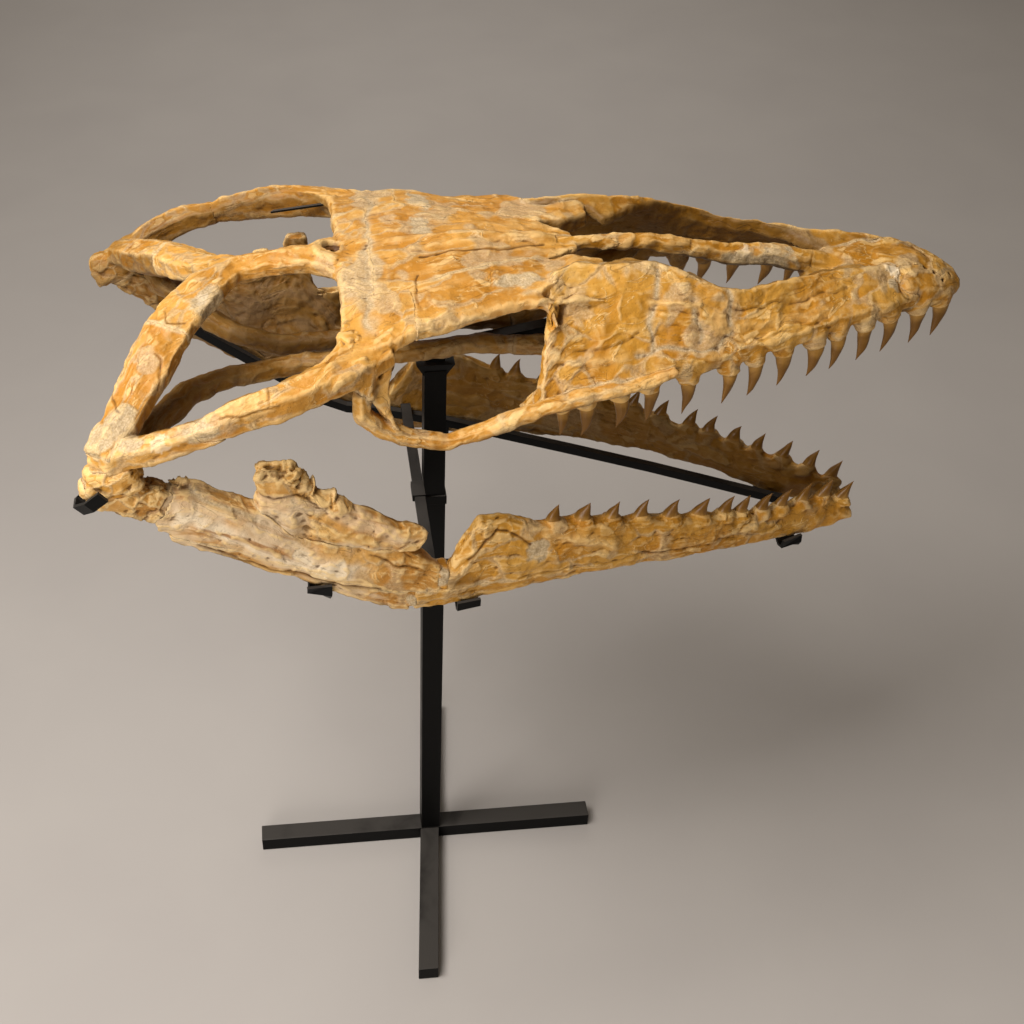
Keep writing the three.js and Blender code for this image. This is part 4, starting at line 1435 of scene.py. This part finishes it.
FRONT_JAW_MARKS = (
    stroke("dentary_right", -1.8, 2, DARK, (0.05, 0.03, 0.71), (0.08, 0.06, 0.80), (0.11, 0.09, 0.91)),
    stroke(
        "dentary_right", -1.4, 1.8, DARK,
        (0.11, 0.09, 0.91), (0.15, 0.10, 0.84), (0.18, 0.11, 0.74),
    ),
    patch("dentary_right", (0.09, 0.12, 0.90), 14, 2, BRIGHT),
    patch("dentary_right", (0.20, 0.12, 0.68), 18, -0.8, FILLED),
    stroke(
        "dentary_right", 2, 8, CREAM,
        (0.22, 0.15, 0.79), (0.25, 0.16, 0.74), (0.31, 0.19, 0.67), (0.37, 0.23, 0.57),
    ),
    # A low groove at the front of the jaw with painted shade in it.
    stroke("dentary_right", -0.6, 9, (("inside", 0.6),), (0.01, 0.01, 0.52), (0.07, 0.04, 0.51)),
    patch("dentary_right", (0.05, 0.03, 0.63), 13, 1.4, (("cream", 0.45),), (0.7, 1.0, 1.3)),
    stroke(
        "dentary_right", -0.8, 1.3, DARK,
        (0.64, 0.53, 0.66), (0.65, 0.51, 0.58), (0.65, 0.49, 0.48),
    ),
    stroke(
        "dentary_right", -0.8, 1.3, DARK,
        (0.70, 0.60, 0.66), (0.70, 0.57, 0.58), (0.71, 0.54, 0.46),
    ),
    patch("dentary_right", (0.76, 0.64, 0.54), 11, 0.8, CREAM, (0.8, 1.0, 1.0)),
    stroke(
        "dentary_right", -1.6, 2.6, FAINT,
        (0.16, 0.09, 0.48), (0.35, 0.20, 0.42), (0.55, 0.36, 0.36), (0.80, 0.68, 0.26), wander=5,
    ),
)

MARKS = ROOF_MARKS + ARCH_MARKS + SNOUT_MARKS + REAR_JAW_MARKS + FRONT_JAW_MARKS


# ---------------------------------------------------------------- carving


@dataclass(frozen=True)
class Relief:
    """How rough a bone is: heights and sizes in metres, then shares of filler, chalk and shade."""

    lump: float = 1.5 * MM
    lump_size: float = 55 * MM
    dent: float = 1.0 * MM
    furrow: float = 0.9 * MM
    furrow_width: float = 6.0 * MM
    slab: float = 0.7 * MM
    slab_size: Triple = (75 * MM, 34 * MM, 34 * MM)
    chip: float = 0.5 * MM
    pit: float = 0.0
    filler: float = 0.55
    joint: float = 0.8
    chalk: float = 0.0
    # Painted shade: inside darkens faces turned inward or down, shade darkens the whole bone.
    inside: float = 0.8
    shade: float = 0.0


@dataclass
class Bone:
    """One bone of the skull, carved from the solid of its CAD node."""

    node: str
    side: Side
    slot: str
    relief: Relief
    finish: Look = Look.ROOF
    jaw: Jaw | None = None
    teeth: list[Tooth] = field(default_factory=list)
    webs: list[Web] = field(default_factory=list)
    solid: bmesh.types.BMesh | None = None

    def prepare(self) -> None:
        """Reads the solid and its teeth, and adds the webs and the sockets."""
        self.solid = merged_copy(self.node)
        for web in self.webs:
            absorb(self.solid, web.shape())
        if self.jaw:
            self.teeth = teeth_of(self.solid, self.jaw)
            add_sockets(self.solid, self.teeth)

    def grain(self, places: np.ndarray) -> np.ndarray:
        """Places along and across the bone's own bent middle line.

        Args:
            places: Points, one row each.

        Returns:
            For each point, the length along the middle line and the two offsets across it.
        """
        step = 12 * MM
        fold = np.sign(places[:, 1]) if self.side is Side.MIDDLE else np.ones(len(places))
        folded = places.copy()
        folded[:, 1] *= fold
        column = np.floor((places[:, 0] - places[:, 0].min()) / step).astype(int)
        count = np.maximum(np.bincount(column), 1)
        middle = np.stack([np.bincount(column, weights=folded[:, k]) / count for k in range(3)], axis=1)
        padded = np.pad(middle, ((2, 2), (0, 0)), mode="edge")
        middle = sum(padded[k : k + len(middle)] for k in range(5)) / 5
        run = np.concatenate([[0], np.cumsum(np.linalg.norm(np.diff(middle, axis=0), axis=1))])
        here = np.interp(places[:, 0], middle[:, 0], run) if len(run) > 1 else places[:, 0]
        offset_y = folded[:, 1] - np.interp(places[:, 0], middle[:, 0], middle[:, 1])
        offset_z = folded[:, 2] - np.interp(places[:, 0], middle[:, 0], middle[:, 2])
        return np.stack([here, offset_y, offset_z], axis=1)

    def _broken(self, grain: np.ndarray) -> tuple[np.ndarray, dict[str, np.ndarray]]:
        """Slabs that the bone broke into, some raised and some sunk, with cracks between them.

        Args:
            grain: Places along and across the bone.

        Returns:
            The height at each point, and the layers by name.
        """
        relief = self.relief
        warped = grain + 9 * MM * WANDER.shift(grain, 38 * MM)
        warped += 3 * MM * WANDER.shift(grain + 5.0, 11 * MM)
        wall, tone = PLATES.cells(warped, relief.slab_size)
        small_size = tuple(0.36 * size for size in relief.slab_size)
        small_wall, small_tone = PLATES.cells(warped + 0.9, small_size)
        open_up = ramp(STAIN.at(grain + 2.0, 70 * MM), -0.35, 0.25)
        height = relief.slab * (2 * tone - 1) * ramp(wall, 0.0, 0.10)
        height -= 0.4 * MM * (1 - ramp(wall, 0.01, 0.05)) * open_up
        chipped = ramp(STAIN.at(grain + 8.0, 55 * MM), -0.05, 0.25)
        height += relief.chip * (2 * small_tone - 1.2) * ramp(small_wall, 0.0, 0.14) * chipped
        crack = 0.25 * (1 - ramp(wall, 0.008, 0.030)) * open_up
        small_crack = 0.22 * (1 - ramp(small_wall, 0.02, 0.07)) * chipped * (small_tone > 0.4)
        crack = np.maximum(crack, small_crack)
        cream = 0.8 * ramp(small_tone, 0.80, 0.86) * chipped * ramp(small_wall, 0.05, 0.12)
        filler = 0.9 * (1 - ramp(wall, 0.05, 0.13)) * ramp(STAIN.at(grain + 4.0, 80 * MM), -0.15, 0.15)
        slab = 0.65 * tone + 0.35 * small_tone
        return height, {"crack": crack, "cream": cream, "filler": relief.filler * filler, "slab": slab}

    def carve(
        self, places: np.ndarray, outward: np.ndarray, joint: np.ndarray
    ) -> tuple[np.ndarray, dict[str, np.ndarray]]:
        """Works out the height of the relief and the layers that the finish reads.

        Args:
            places: Smooth surface points, one row each.
            outward: Outward direction at each point.
            joint: How close each point is to a joint with another bone, 0 to 1.

        Returns:
            The height at each point, and the layers by name.
        """
        relief = self.relief
        grain = self.grain(places)
        height, layers = self._broken(grain)
        height += relief.lump * LUMPS.layered(places, relief.lump_size, 3)
        height += relief.dent * LUMPS.layered(places + 5.0, 17 * MM, 2)
        wide = relief.furrow_width
        furrow = GRAIN.at(grain, (90 * MM, wide, wide))
        furrow += 0.6 * GRAIN.at(grain + 2.0, (40 * MM, wide / 2, wide / 2))
        furrowed = ramp(LUMPS.at(places + 9.0, 70 * MM), -0.3, 0.4)
        height += relief.furrow * (0.4 - np.abs(furrow)) * furrowed
        pit = ramp(PITS.at(places, 8 * MM), 0.50, 0.75)
        pit *= ramp(PITS.at(places + 4.0, 60 * MM), 0.0, 0.35)
        height -= relief.pit * pit
        layers["crack"] = np.maximum(layers["crack"], 300 * relief.pit * pit)
        spread = ramp(STAIN.layered(places, 75 * MM, 3), 0.38, 0.50)
        filled = ramp(joint + 0.25 * STAIN.layered(places + 3.0, 20 * MM, 2), 0.10, 0.35)
        filled *= relief.joint * ramp(STAIN.at(places + 5.0, 90 * MM), -0.30, 0.10)
        layers["filler"] = np.maximum(np.maximum(layers["filler"], relief.filler * spread), filled)
        height += 0.5 * MM * layers["filler"]
        chalk = ramp(STAIN.layered(grain * (0.5, 1, 1) + 6.0, 45 * MM, 3), 0.0, 0.3)
        layers["chalk"] = relief.chalk * chalk
        # Painted shade on faces turned in toward the middle and on faces turned down, and over whole
        # bones that lie in shade.
        facing = -outward[:, 1] * self.side.value
        turned = np.maximum(ramp(facing, 0.1, 0.6), ramp(-outward[:, 2], 0.3, 0.8))
        layers["inside"] = np.maximum(relief.inside * turned, relief.shade)
        for mark in MARKS:
            near = np.flatnonzero(mark.near(places))
            if not len(near):
                continue
            raised, strength = mark.shape(places[near], outward[near])
            height[near] += raised
            for name, share in mark.layers:
                if share < 0:
                    layers[name][near] *= 1 + share * strength
                else:
                    layers[name][near] = np.maximum(layers[name][near], share * strength)
        return height, layers | {"grain": grain}


def clear_of_crowns(places: np.ndarray, teeth: list[Tooth]) -> tuple[np.ndarray, np.ndarray]:
    """Draws the bone in where a crown will cover it.

    Args:
        places: Surface points, one row each.
        teeth: The teeth on the bone.

    Returns:
        The points, and a mask that is 0 where a crown covers the bone.
    """
    moved = places.copy()
    bare = np.ones(len(places))
    for tooth in teeth:
        root, tip = np.array(tooth.root), np.array(tooth.tip)
        axis = tip - root
        share = (places - root) @ axis / (axis @ axis)
        gap = np.linalg.norm(places - root - share[:, None] * axis, axis=1)
        near = gap < tooth.long * np.clip(1.35 - share, 0.2, 1) + 2.5 * MM
        covered = near & (share > 0.25) & (share < 1.2)
        centres = [tooth.centre(float(s)) for s in np.clip(share[covered], 0, 1)]
        centre = np.array(centres).reshape(-1, 3)
        pull = ramp(share[covered], 0.33, 0.45) * 0.5
        moved[covered] += (centre - places[covered]) * pull[:, None]
        bare[covered] = np.minimum(bare[covered], 1 - ramp(share[covered], 0.28, 0.42))
    return moved, bare


@dataclass
class Skull:
    """All the bones, rounded as one and then carved one by one."""

    bones: list[Bone]
    finishes: dict[Look, bpy.types.Material]
    enamel: bpy.types.Material
    swell: float = 0.5 * MM
    overlap: float = 0.8 * MM
    lift: float = 1.3 * MM
    hidden_rounds: int = 10
    joint_rounds: int = 24
    cavity_size: float = 0.6 * MM

    def _round_off(self) -> tuple[np.ndarray, np.ndarray, np.ndarray]:
        """Rounds the whole skull as if it were one piece.

        Returns:
            Places before and after rounding, and outward directions after it.
        """
        whole = bmesh.new()
        for bone in self.bones:
            part = bpy.data.meshes.new("part")
            bone.solid.to_mesh(part)
            absorb(whole, part)
        skin = rebuilt(mesh_of(whole, "whole"), "whole")
        before = places_of(skin)
        edges = edges_of(skin)
        rounds = 12 if VOXEL < 2 * MM else 5
        after = relaxed(before, edges, rounds, 2 * rounds)
        teeth = [tooth for bone in self.bones for tooth in bone.teeth]
        after, bare = clear_of_crowns(after, teeth)
        move_to(skin, after)
        outward = normals_of(skin)
        outward = relaxed(outward, edges, 3, 0)
        outward /= np.maximum(np.linalg.norm(outward, axis=1, keepdims=True), 1e-9)
        after += outward * (self.swell * bare)[:, None]
        bpy.data.meshes.remove(skin)
        LOG.info("rounded skull: %d corners", len(before))
        return before, after, outward

    def _carve_bone(
        self, bone: Bone, tree: KDTree, skin: tuple[np.ndarray, np.ndarray, np.ndarray]
    ) -> None:
        """Carves one bone onto the rounded skin and places it.

        Args:
            bone: The bone.
            tree: Finder of the nearest corner of the skin before rounding.
            skin: Places before and after rounding, and outward directions.
        """
        before, after, outward = skin
        mesh = rebuilt(mesh_of(bone.solid, bone.node), bone.node)
        edges = edges_of(mesh)
        own = places_of(mesh)
        own_normals = normals_of(mesh)
        nearest = np.array([tree.find(place)[1:] for place in own])
        index = nearest[:, 0].astype(int)
        out = outward[index]
        outer = 1 - ramp(nearest[:, 1], 0.6 * VOXEL, 2.0 * VOXEL)
        hidden = relaxed(1 - outer[:, None], edges, self.hidden_rounds, 0)[:, 0]
        close = ramp(hidden, 0.02, 0.30)
        joint = relaxed(hidden[:, None], edges, self.joint_rounds, 0)[:, 0] * 1.6
        smooth = own + (after - before)[index]
        lift = np.einsum("ij,ij->i", after[index] - smooth, out)
        smooth += out * (np.clip(lift, 0, self.lift) * outer * close)[:, None]
        height, layers = bone.carve(smooth, out, joint)
        _, bare = clear_of_crowns(smooth, bone.teeth)
        places = smooth + out * (height * outer * bare)[:, None]
        across = own_normals - out * np.einsum("ij,ij->i", own_normals, out)[:, None]
        places += across * (self.overlap * close)[:, None]
        places = swayed(places)
        places = np.clip(places, *(np.array(corner) for corner in CAD_BOX))
        move_to(mesh, places)
        for name, values in layers.items():
            store(mesh, name, values)
        store(mesh, "cavity", self._cavity(mesh, places, edges) * (1 - 0.85 * close))
        place_piece(bone.node + "_bone", mesh, self.finishes[bone.finish], [bone.node])

    def _cavity(self, mesh: bpy.types.Mesh, places: np.ndarray, edges: np.ndarray) -> np.ndarray:
        """How sunk each corner lies among its neighbours.

        Args:
            mesh: The carved mesh.
            places: Its corner places.
            edges: Pairs of corner numbers.

        Returns:
            One value for each corner, above 0 in hollows and below 0 on edges.
        """
        count = neighbour_count(edges, len(places))
        normals = normals_of(mesh)
        hollow = np.zeros(len(places))
        level = places
        for rounds, weight in ((1, 0.5), (6, 1.0)):
            for _ in range(rounds):
                level = neighbour_mean(level, edges, count)
            hollow += weight * np.einsum("ij,ij->i", level - places, normals) / self.cavity_size
        return np.clip(relaxed(hollow[:, None], edges, 1, 0)[:, 0], -1.5, 1.5)

    def build(self) -> None:
        """Carves and places every bone and its teeth."""
        for bone in self.bones:
            bone.prepare()
        skin = self._round_off()
        tree = KDTree(len(skin[0]))
        for number, place in enumerate(skin[0]):
            tree.insert(place, number)
        tree.balance()
        for bone in self.bones:
            self._carve_bone(bone, tree, skin)
            if bone.teeth:
                crowns = Crowns(bone.node + "_teeth", bone.teeth)
                place_piece(crowns.name, crowns.build(), self.enamel, [bone.node])


@dataclass
class JointLump:
    """The lump of filler that closes the gap where two bones of one side of the jaw meet end to end."""

    rear: str
    front: str
    side: Side
    material: bpy.types.Material
    height: float
    tall: float
    wide: float = 31 * MM
    reach: float = 9 * MM
    inset: float = 1.5 * MM
    round_off: float = 4 * MM
    rough: float = 1.2 * MM

    def build(self) -> None:
        """Models the lump as a rounded block with a rough skin and places it."""
        rear = f"{self.rear}_{self.side.word}"
        rear_low, rear_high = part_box(rear)
        front_low, front_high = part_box(f"{self.front}_{self.side.word}")
        outer = front_high[1] if self.side is Side.LEFT else front_low[1]
        x = (rear_high[0] + front_low[0]) / 2
        y = outer - self.side.value * (self.wide / 2 + self.inset)
        span = front_low[0] - rear_high[0] + self.reach
        shape = bmesh.new()
        place = Matrix.Translation((x, y, rear_low[2] + self.height))
        bmesh.ops.create_cube(
            shape, size=1, matrix=place @ Matrix.Diagonal((span, self.wide, self.tall, 1))
        )
        bmesh.ops.bevel(
            shape,
            geom=list(shape.edges),
            offset=self.round_off,
            segments=3,
            profile=0.5,
            affect="EDGES",
            material=-1,
        )
        mesh = rebuilt(mesh_of(shape, "lump"), f"{rear}_joint")
        places = places_of(mesh)
        rough = self.rough * LUMPS.layered(places, 14 * MM, 3)
        move_to(mesh, swayed(places + normals_of(mesh) * rough[:, None]))
        store(mesh, "filler", ramp(STAIN.layered(places, 18 * MM, 2), -0.5, 0.1))
        store(mesh, "grain", places)
        place_piece(f"{rear}_joint", mesh, self.material, [rear])


# ---------------------------------------------------------------- stand


@dataclass
class Stand:
    """The black steel stand, with its edges eased."""

    material: bpy.types.Material
    ease: float = 1.2 * MM
    sharp_deg: float = 25
    strip: str = "stand_roof_strip"
    strip_share: float = 0.45

    def build(self) -> None:
        """Dresses every node of the stand."""
        for node in sorted(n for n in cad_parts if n.startswith("stand_")):
            solid = merged_copy(node)
            flat = math.radians(2)
            bmesh.ops.dissolve_limit(solid, angle_limit=flat, verts=solid.verts, edges=solid.edges)
            if node == self.strip:
                middle = sum((Vector(corner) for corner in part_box(node)), Vector()) / 2
                centred = Matrix.Translation(-middle)
                bmesh.ops.scale(solid, vec=(1, self.strip_share, 1), space=centred, verts=solid.verts)
            mesh = mesh_of(solid, node)
            piece = place_piece(node + "_steel", mesh, self.material, [node])
            bevel = piece.modifiers.new("eased", "BEVEL")
            bevel.width = self.ease
            bevel.segments = 2
            bevel.limit_method = "ANGLE"
            bevel.angle_limit = math.radians(self.sharp_deg)
            mesh.polygons.foreach_set("use_smooth", [False] * len(mesh.polygons))


# ---------------------------------------------------------------- studio


@dataclass(frozen=True)
class Softbox:
    """A square soft light that faces a place."""

    name: str
    place: Triple
    power: float
    size: float
    warm: Triple
    aim: Triple = (0.1, 0.0, 0.85)

    def hang(self) -> None:
        """Hangs the light."""
        data = bpy.data.lights.new(self.name, "AREA")
        data.energy = self.power
        data.size = self.size
        data.color = self.warm
        lamp = new_object(self.name, data)
        lamp.location = self.place
        turn_to(lamp, Vector(self.aim) - Vector(self.place))


@dataclass
class Studio:
    """Camera, floor and light."""

    eye: Triple = (-0.1691, -1.5038, 1.9555)
    turn_deg: float = 5.5
    drop_deg: float = 40.0
    lens_mm: float = 51.33
    sensor_mm: float = 36
    shift_x: float = 0.0947
    sight: float = 60
    floor_reach: float = 14
    floor_tones: tuple[Colour, Colour] = ((0.42, 0.390, 0.37, 1), (0.48, 0.450, 0.42, 1))
    ambient: Colour = (0.95, 0.82, 0.66, 1)
    ambient_strength: float = 0.17
    lights: tuple[Softbox, ...] = (
        Softbox("key", (-1.2, -0.5, 2.9), 89, 1.4, (1, 0.96, 0.92)),
        Softbox("front", (-1.3, -2.6, 0.95), 46, 1.4, (1, 0.95, 0.9)),
        Softbox("back", (0.2, 3.4, 2.3), 19, 2.0, (1, 0.97, 0.94), (0.4, 3.5, 0.0)),
    )

    def place_camera(self) -> None:
        """Puts the camera where it looks down on the right side of the skull."""
        data = bpy.data.cameras.new("camera")
        data.sensor_width = self.sensor_mm
        data.lens = self.lens_mm
        data.shift_x = self.shift_x
        data.clip_end = self.sight
        turn, drop = math.radians(self.turn_deg), math.radians(self.drop_deg)
        level = math.cos(drop)
        look = Vector((math.sin(turn) * level, math.cos(turn) * level, -math.sin(drop)))
        camera = new_object("camera", data)
        camera.location = self.eye
        turn_to(camera, look)
        bpy.context.scene.camera = camera

    def lay_floor(self) -> None:
        """Lays a large pale floor under the stand."""
        shape = bmesh.new()
        bmesh.ops.create_grid(shape, x_segments=2, y_segments=2, size=self.floor_reach)
        mesh = mesh_of(shape, "floor")
        material, bench, place = start_material("PaleFloor")
        cloud = bench.noise(place, 3.0, 6.0, 0.3)
        close_material(bench, bench.mix(cloud, *self.floor_tones), 0.9, {})
        mesh.materials.append(material)
        floor = new_object("floor", mesh)

    def build(self) -> None:
        """Sets up the whole studio."""
        self.place_camera()
        self.lay_floor()
        for light in self.lights:
            light.hang()
        world = bpy.data.worlds.new("studio")
        world.use_nodes = True
        ground = world.node_tree.nodes["Background"]
        ground.inputs["Color"].default_value = self.ambient
        ground.inputs["Strength"].default_value = self.ambient_strength
        bpy.context.scene.world = world
        bpy.context.scene.view_settings.view_transform = "Standard"


# ---------------------------------------------------------------- the object


def corner_webs(side: Side) -> dict[str, list[Web]]:
    """The webs on one side of the skull, by the bone that they grow from.

    Args:
        side: The side.

    Returns:
        The webs of each bone that has any.
    """

    def at(stem: str, x: float, y: float, z: float) -> At:
        """A place on a bone of this side, with y counted from the outer side."""
        node = stem if stem == "parietal" else f"{stem}_{side.word}"
        return At(node, x, y if side is Side.RIGHT else 1 - y, z)

    bar = Web(
        at("parietal", 0.916, 0.394, 0.80),
        (at("parietal", 0.668, 0.449, 0.80), at("postorbitofrontal", 0.741, 0.906, 0.83)),
        13 * MM,
    )
    rim = Web(
        at("postorbitofrontal", 0.72, 0.44, 0.68),
        (at("postorbitofrontal", 0.69, 0.76, 0.79), at("postorbitofrontal", 0.50, 0.26, 0.58)),
        14 * MM,
    )
    brow = Web(
        at("postorbitofrontal", 0.769, 0.339, 0.135),
        (at("postorbitofrontal", 0.919, 0.497, 0.70), at("jugal", 0.139, 0.233, 0.25)),
        17 * MM,
    )
    cheek = Web(
        at("prefrontal", 0.73, 0.45, 0.33),
        (at("prefrontal", 0.66, 0.24, 0.33), at("maxilla", 0.21, 0.385, 0.785)),
        24 * MM,
    )
    webs = {"parietal": [bar], f"postorbitofrontal_{side.word}": [rim, brow]}
    if side is Side.RIGHT:
        webs[f"maxilla_{side.word}"] = [cheek]
    return webs


def all_bones() -> list[Bone]:
    """Every bone of the skull with its own relief and webs.

    Returns:
        The bones, those on the midline first.
    """
    arch = Relief(slab_size=(70 * MM, 30 * MM, 30 * MM))
    plate = Relief(lump=1.4 * MM, furrow=0.7 * MM, slab_size=(85 * MM, 40 * MM, 40 * MM))
    broken = Relief(lump=1.7 * MM, slab=1.0 * MM, slab_size=(55 * MM, 32 * MM, 32 * MM), inside=0.95)
    # Palate and pterygoid lie deep inside the skull: painted shade over the whole bone.
    roof = Relief(inside=0.95, shade=0.75)
    crushed = Relief(
        lump=2.4 * MM, lump_size=30 * MM, slab=2.2 * MM, slab_size=(26 * MM,) * 3, chip=1.2 * MM,
    )
    crown = Relief(
        lump=3.0 * MM, lump_size=34 * MM, slab=1.2 * MM, pit=1.0 * MM, chip=1.0 * MM, chalk=0.45,
        inside=1.0,
    )
    jaw = Relief(lump=1.8 * MM, furrow=1.2 * MM, slab=1.0 * MM, pit=0.7 * MM, chip=0.8 * MM)
    rear = Relief(
        lump=2.0 * MM, furrow=1.2 * MM, slab=1.1 * MM, pit=1.0 * MM, chip=0.9 * MM, chalk=0.5,
        inside=1.0,
    )
    bones = [
        Bone("premaxilla", Side.MIDDLE, "skull_bone", broken, Look.SNOUT, Jaw.UPPER),
        Bone("frontal", Side.MIDDLE, "skull_bone", plate),
        Bone("parietal", Side.MIDDLE, "skull_bone", arch),
    ]
    for side in (Side.RIGHT, Side.LEFT):
        for stem, relief in (
            ("prefrontal", plate),
            ("postorbitofrontal", arch),
            ("supratemporal", arch),
            ("squamosal", arch),
            ("jugal", arch),
            ("palatine", roof),
            ("pterygoid", roof),
        ):
            bones.append(Bone(f"{stem}_{side.word}", side, "skull_bone", relief))
        bones.append(Bone(f"maxilla_{side.word}", side, "skull_bone", broken, Look.SNOUT, Jaw.UPPER))
        for stem, relief, finish in (
            ("quadrate", crushed, Look.ROOF),
            ("articular", crushed, Look.JAW),
            ("angular", rear, Look.JAW),
            ("splenial", jaw, Look.SNOUT),
            ("coronoid", crown, Look.JAW),
            ("surangular", rear, Look.JAW),
        ):
            bones.append(Bone(f"{stem}_{side.word}", side, "jaw_bone", relief, finish))
        bones.append(Bone(f"dentary_{side.word}", side, "jaw_bone", jaw, Look.SNOUT, Jaw.LOWER))
        for bone in bones:
            bone.webs += corner_webs(side).get(bone.node, [])
    return bones


def main() -> None:
    """Builds the studio, the skull and the stand in order."""
    logging.basicConfig(level=logging.INFO, format="%(message)s")
    Studio().build()
    effects = Effects(streaks_group(), veins_group(), pores_group())
    tones = {
        Look.ROOF: {},
        Look.SNOUT: {
            "ochre": (0.50, 0.240, 0.032, 1),
            "amber": (0.40, 0.165, 0.012, 1),
            "tan": (0.58, 0.320, 0.070, 1),
        },
        Look.JAW: {
            "ochre": (0.58, 0.310, 0.085, 1),
            "amber": (0.46, 0.205, 0.036, 1),
            # Stronger painted highlight on the raised edges of the jaw.
            "edge": 0.6,
        },
    }
    finishes = {look: BoneFinish(look.value, **own).build(effects) for look, own in tones.items()}
    enamel = EnamelFinish("ToothEnamel").build(effects)
    Skull(all_bones(), finishes, enamel).build()
    for side in (Side.RIGHT, Side.LEFT):
        JointLump("angular", "splenial", side, finishes[Look.SNOUT], 25 * MM, 31 * MM).build()
        JointLump("surangular", "dentary", side, finishes[Look.SNOUT], 12 * MM, 26 * MM).build()
    Stand(SteelFinish("BlackSteel").build(effects)).build()


if __name__ == "__main__":
    main()
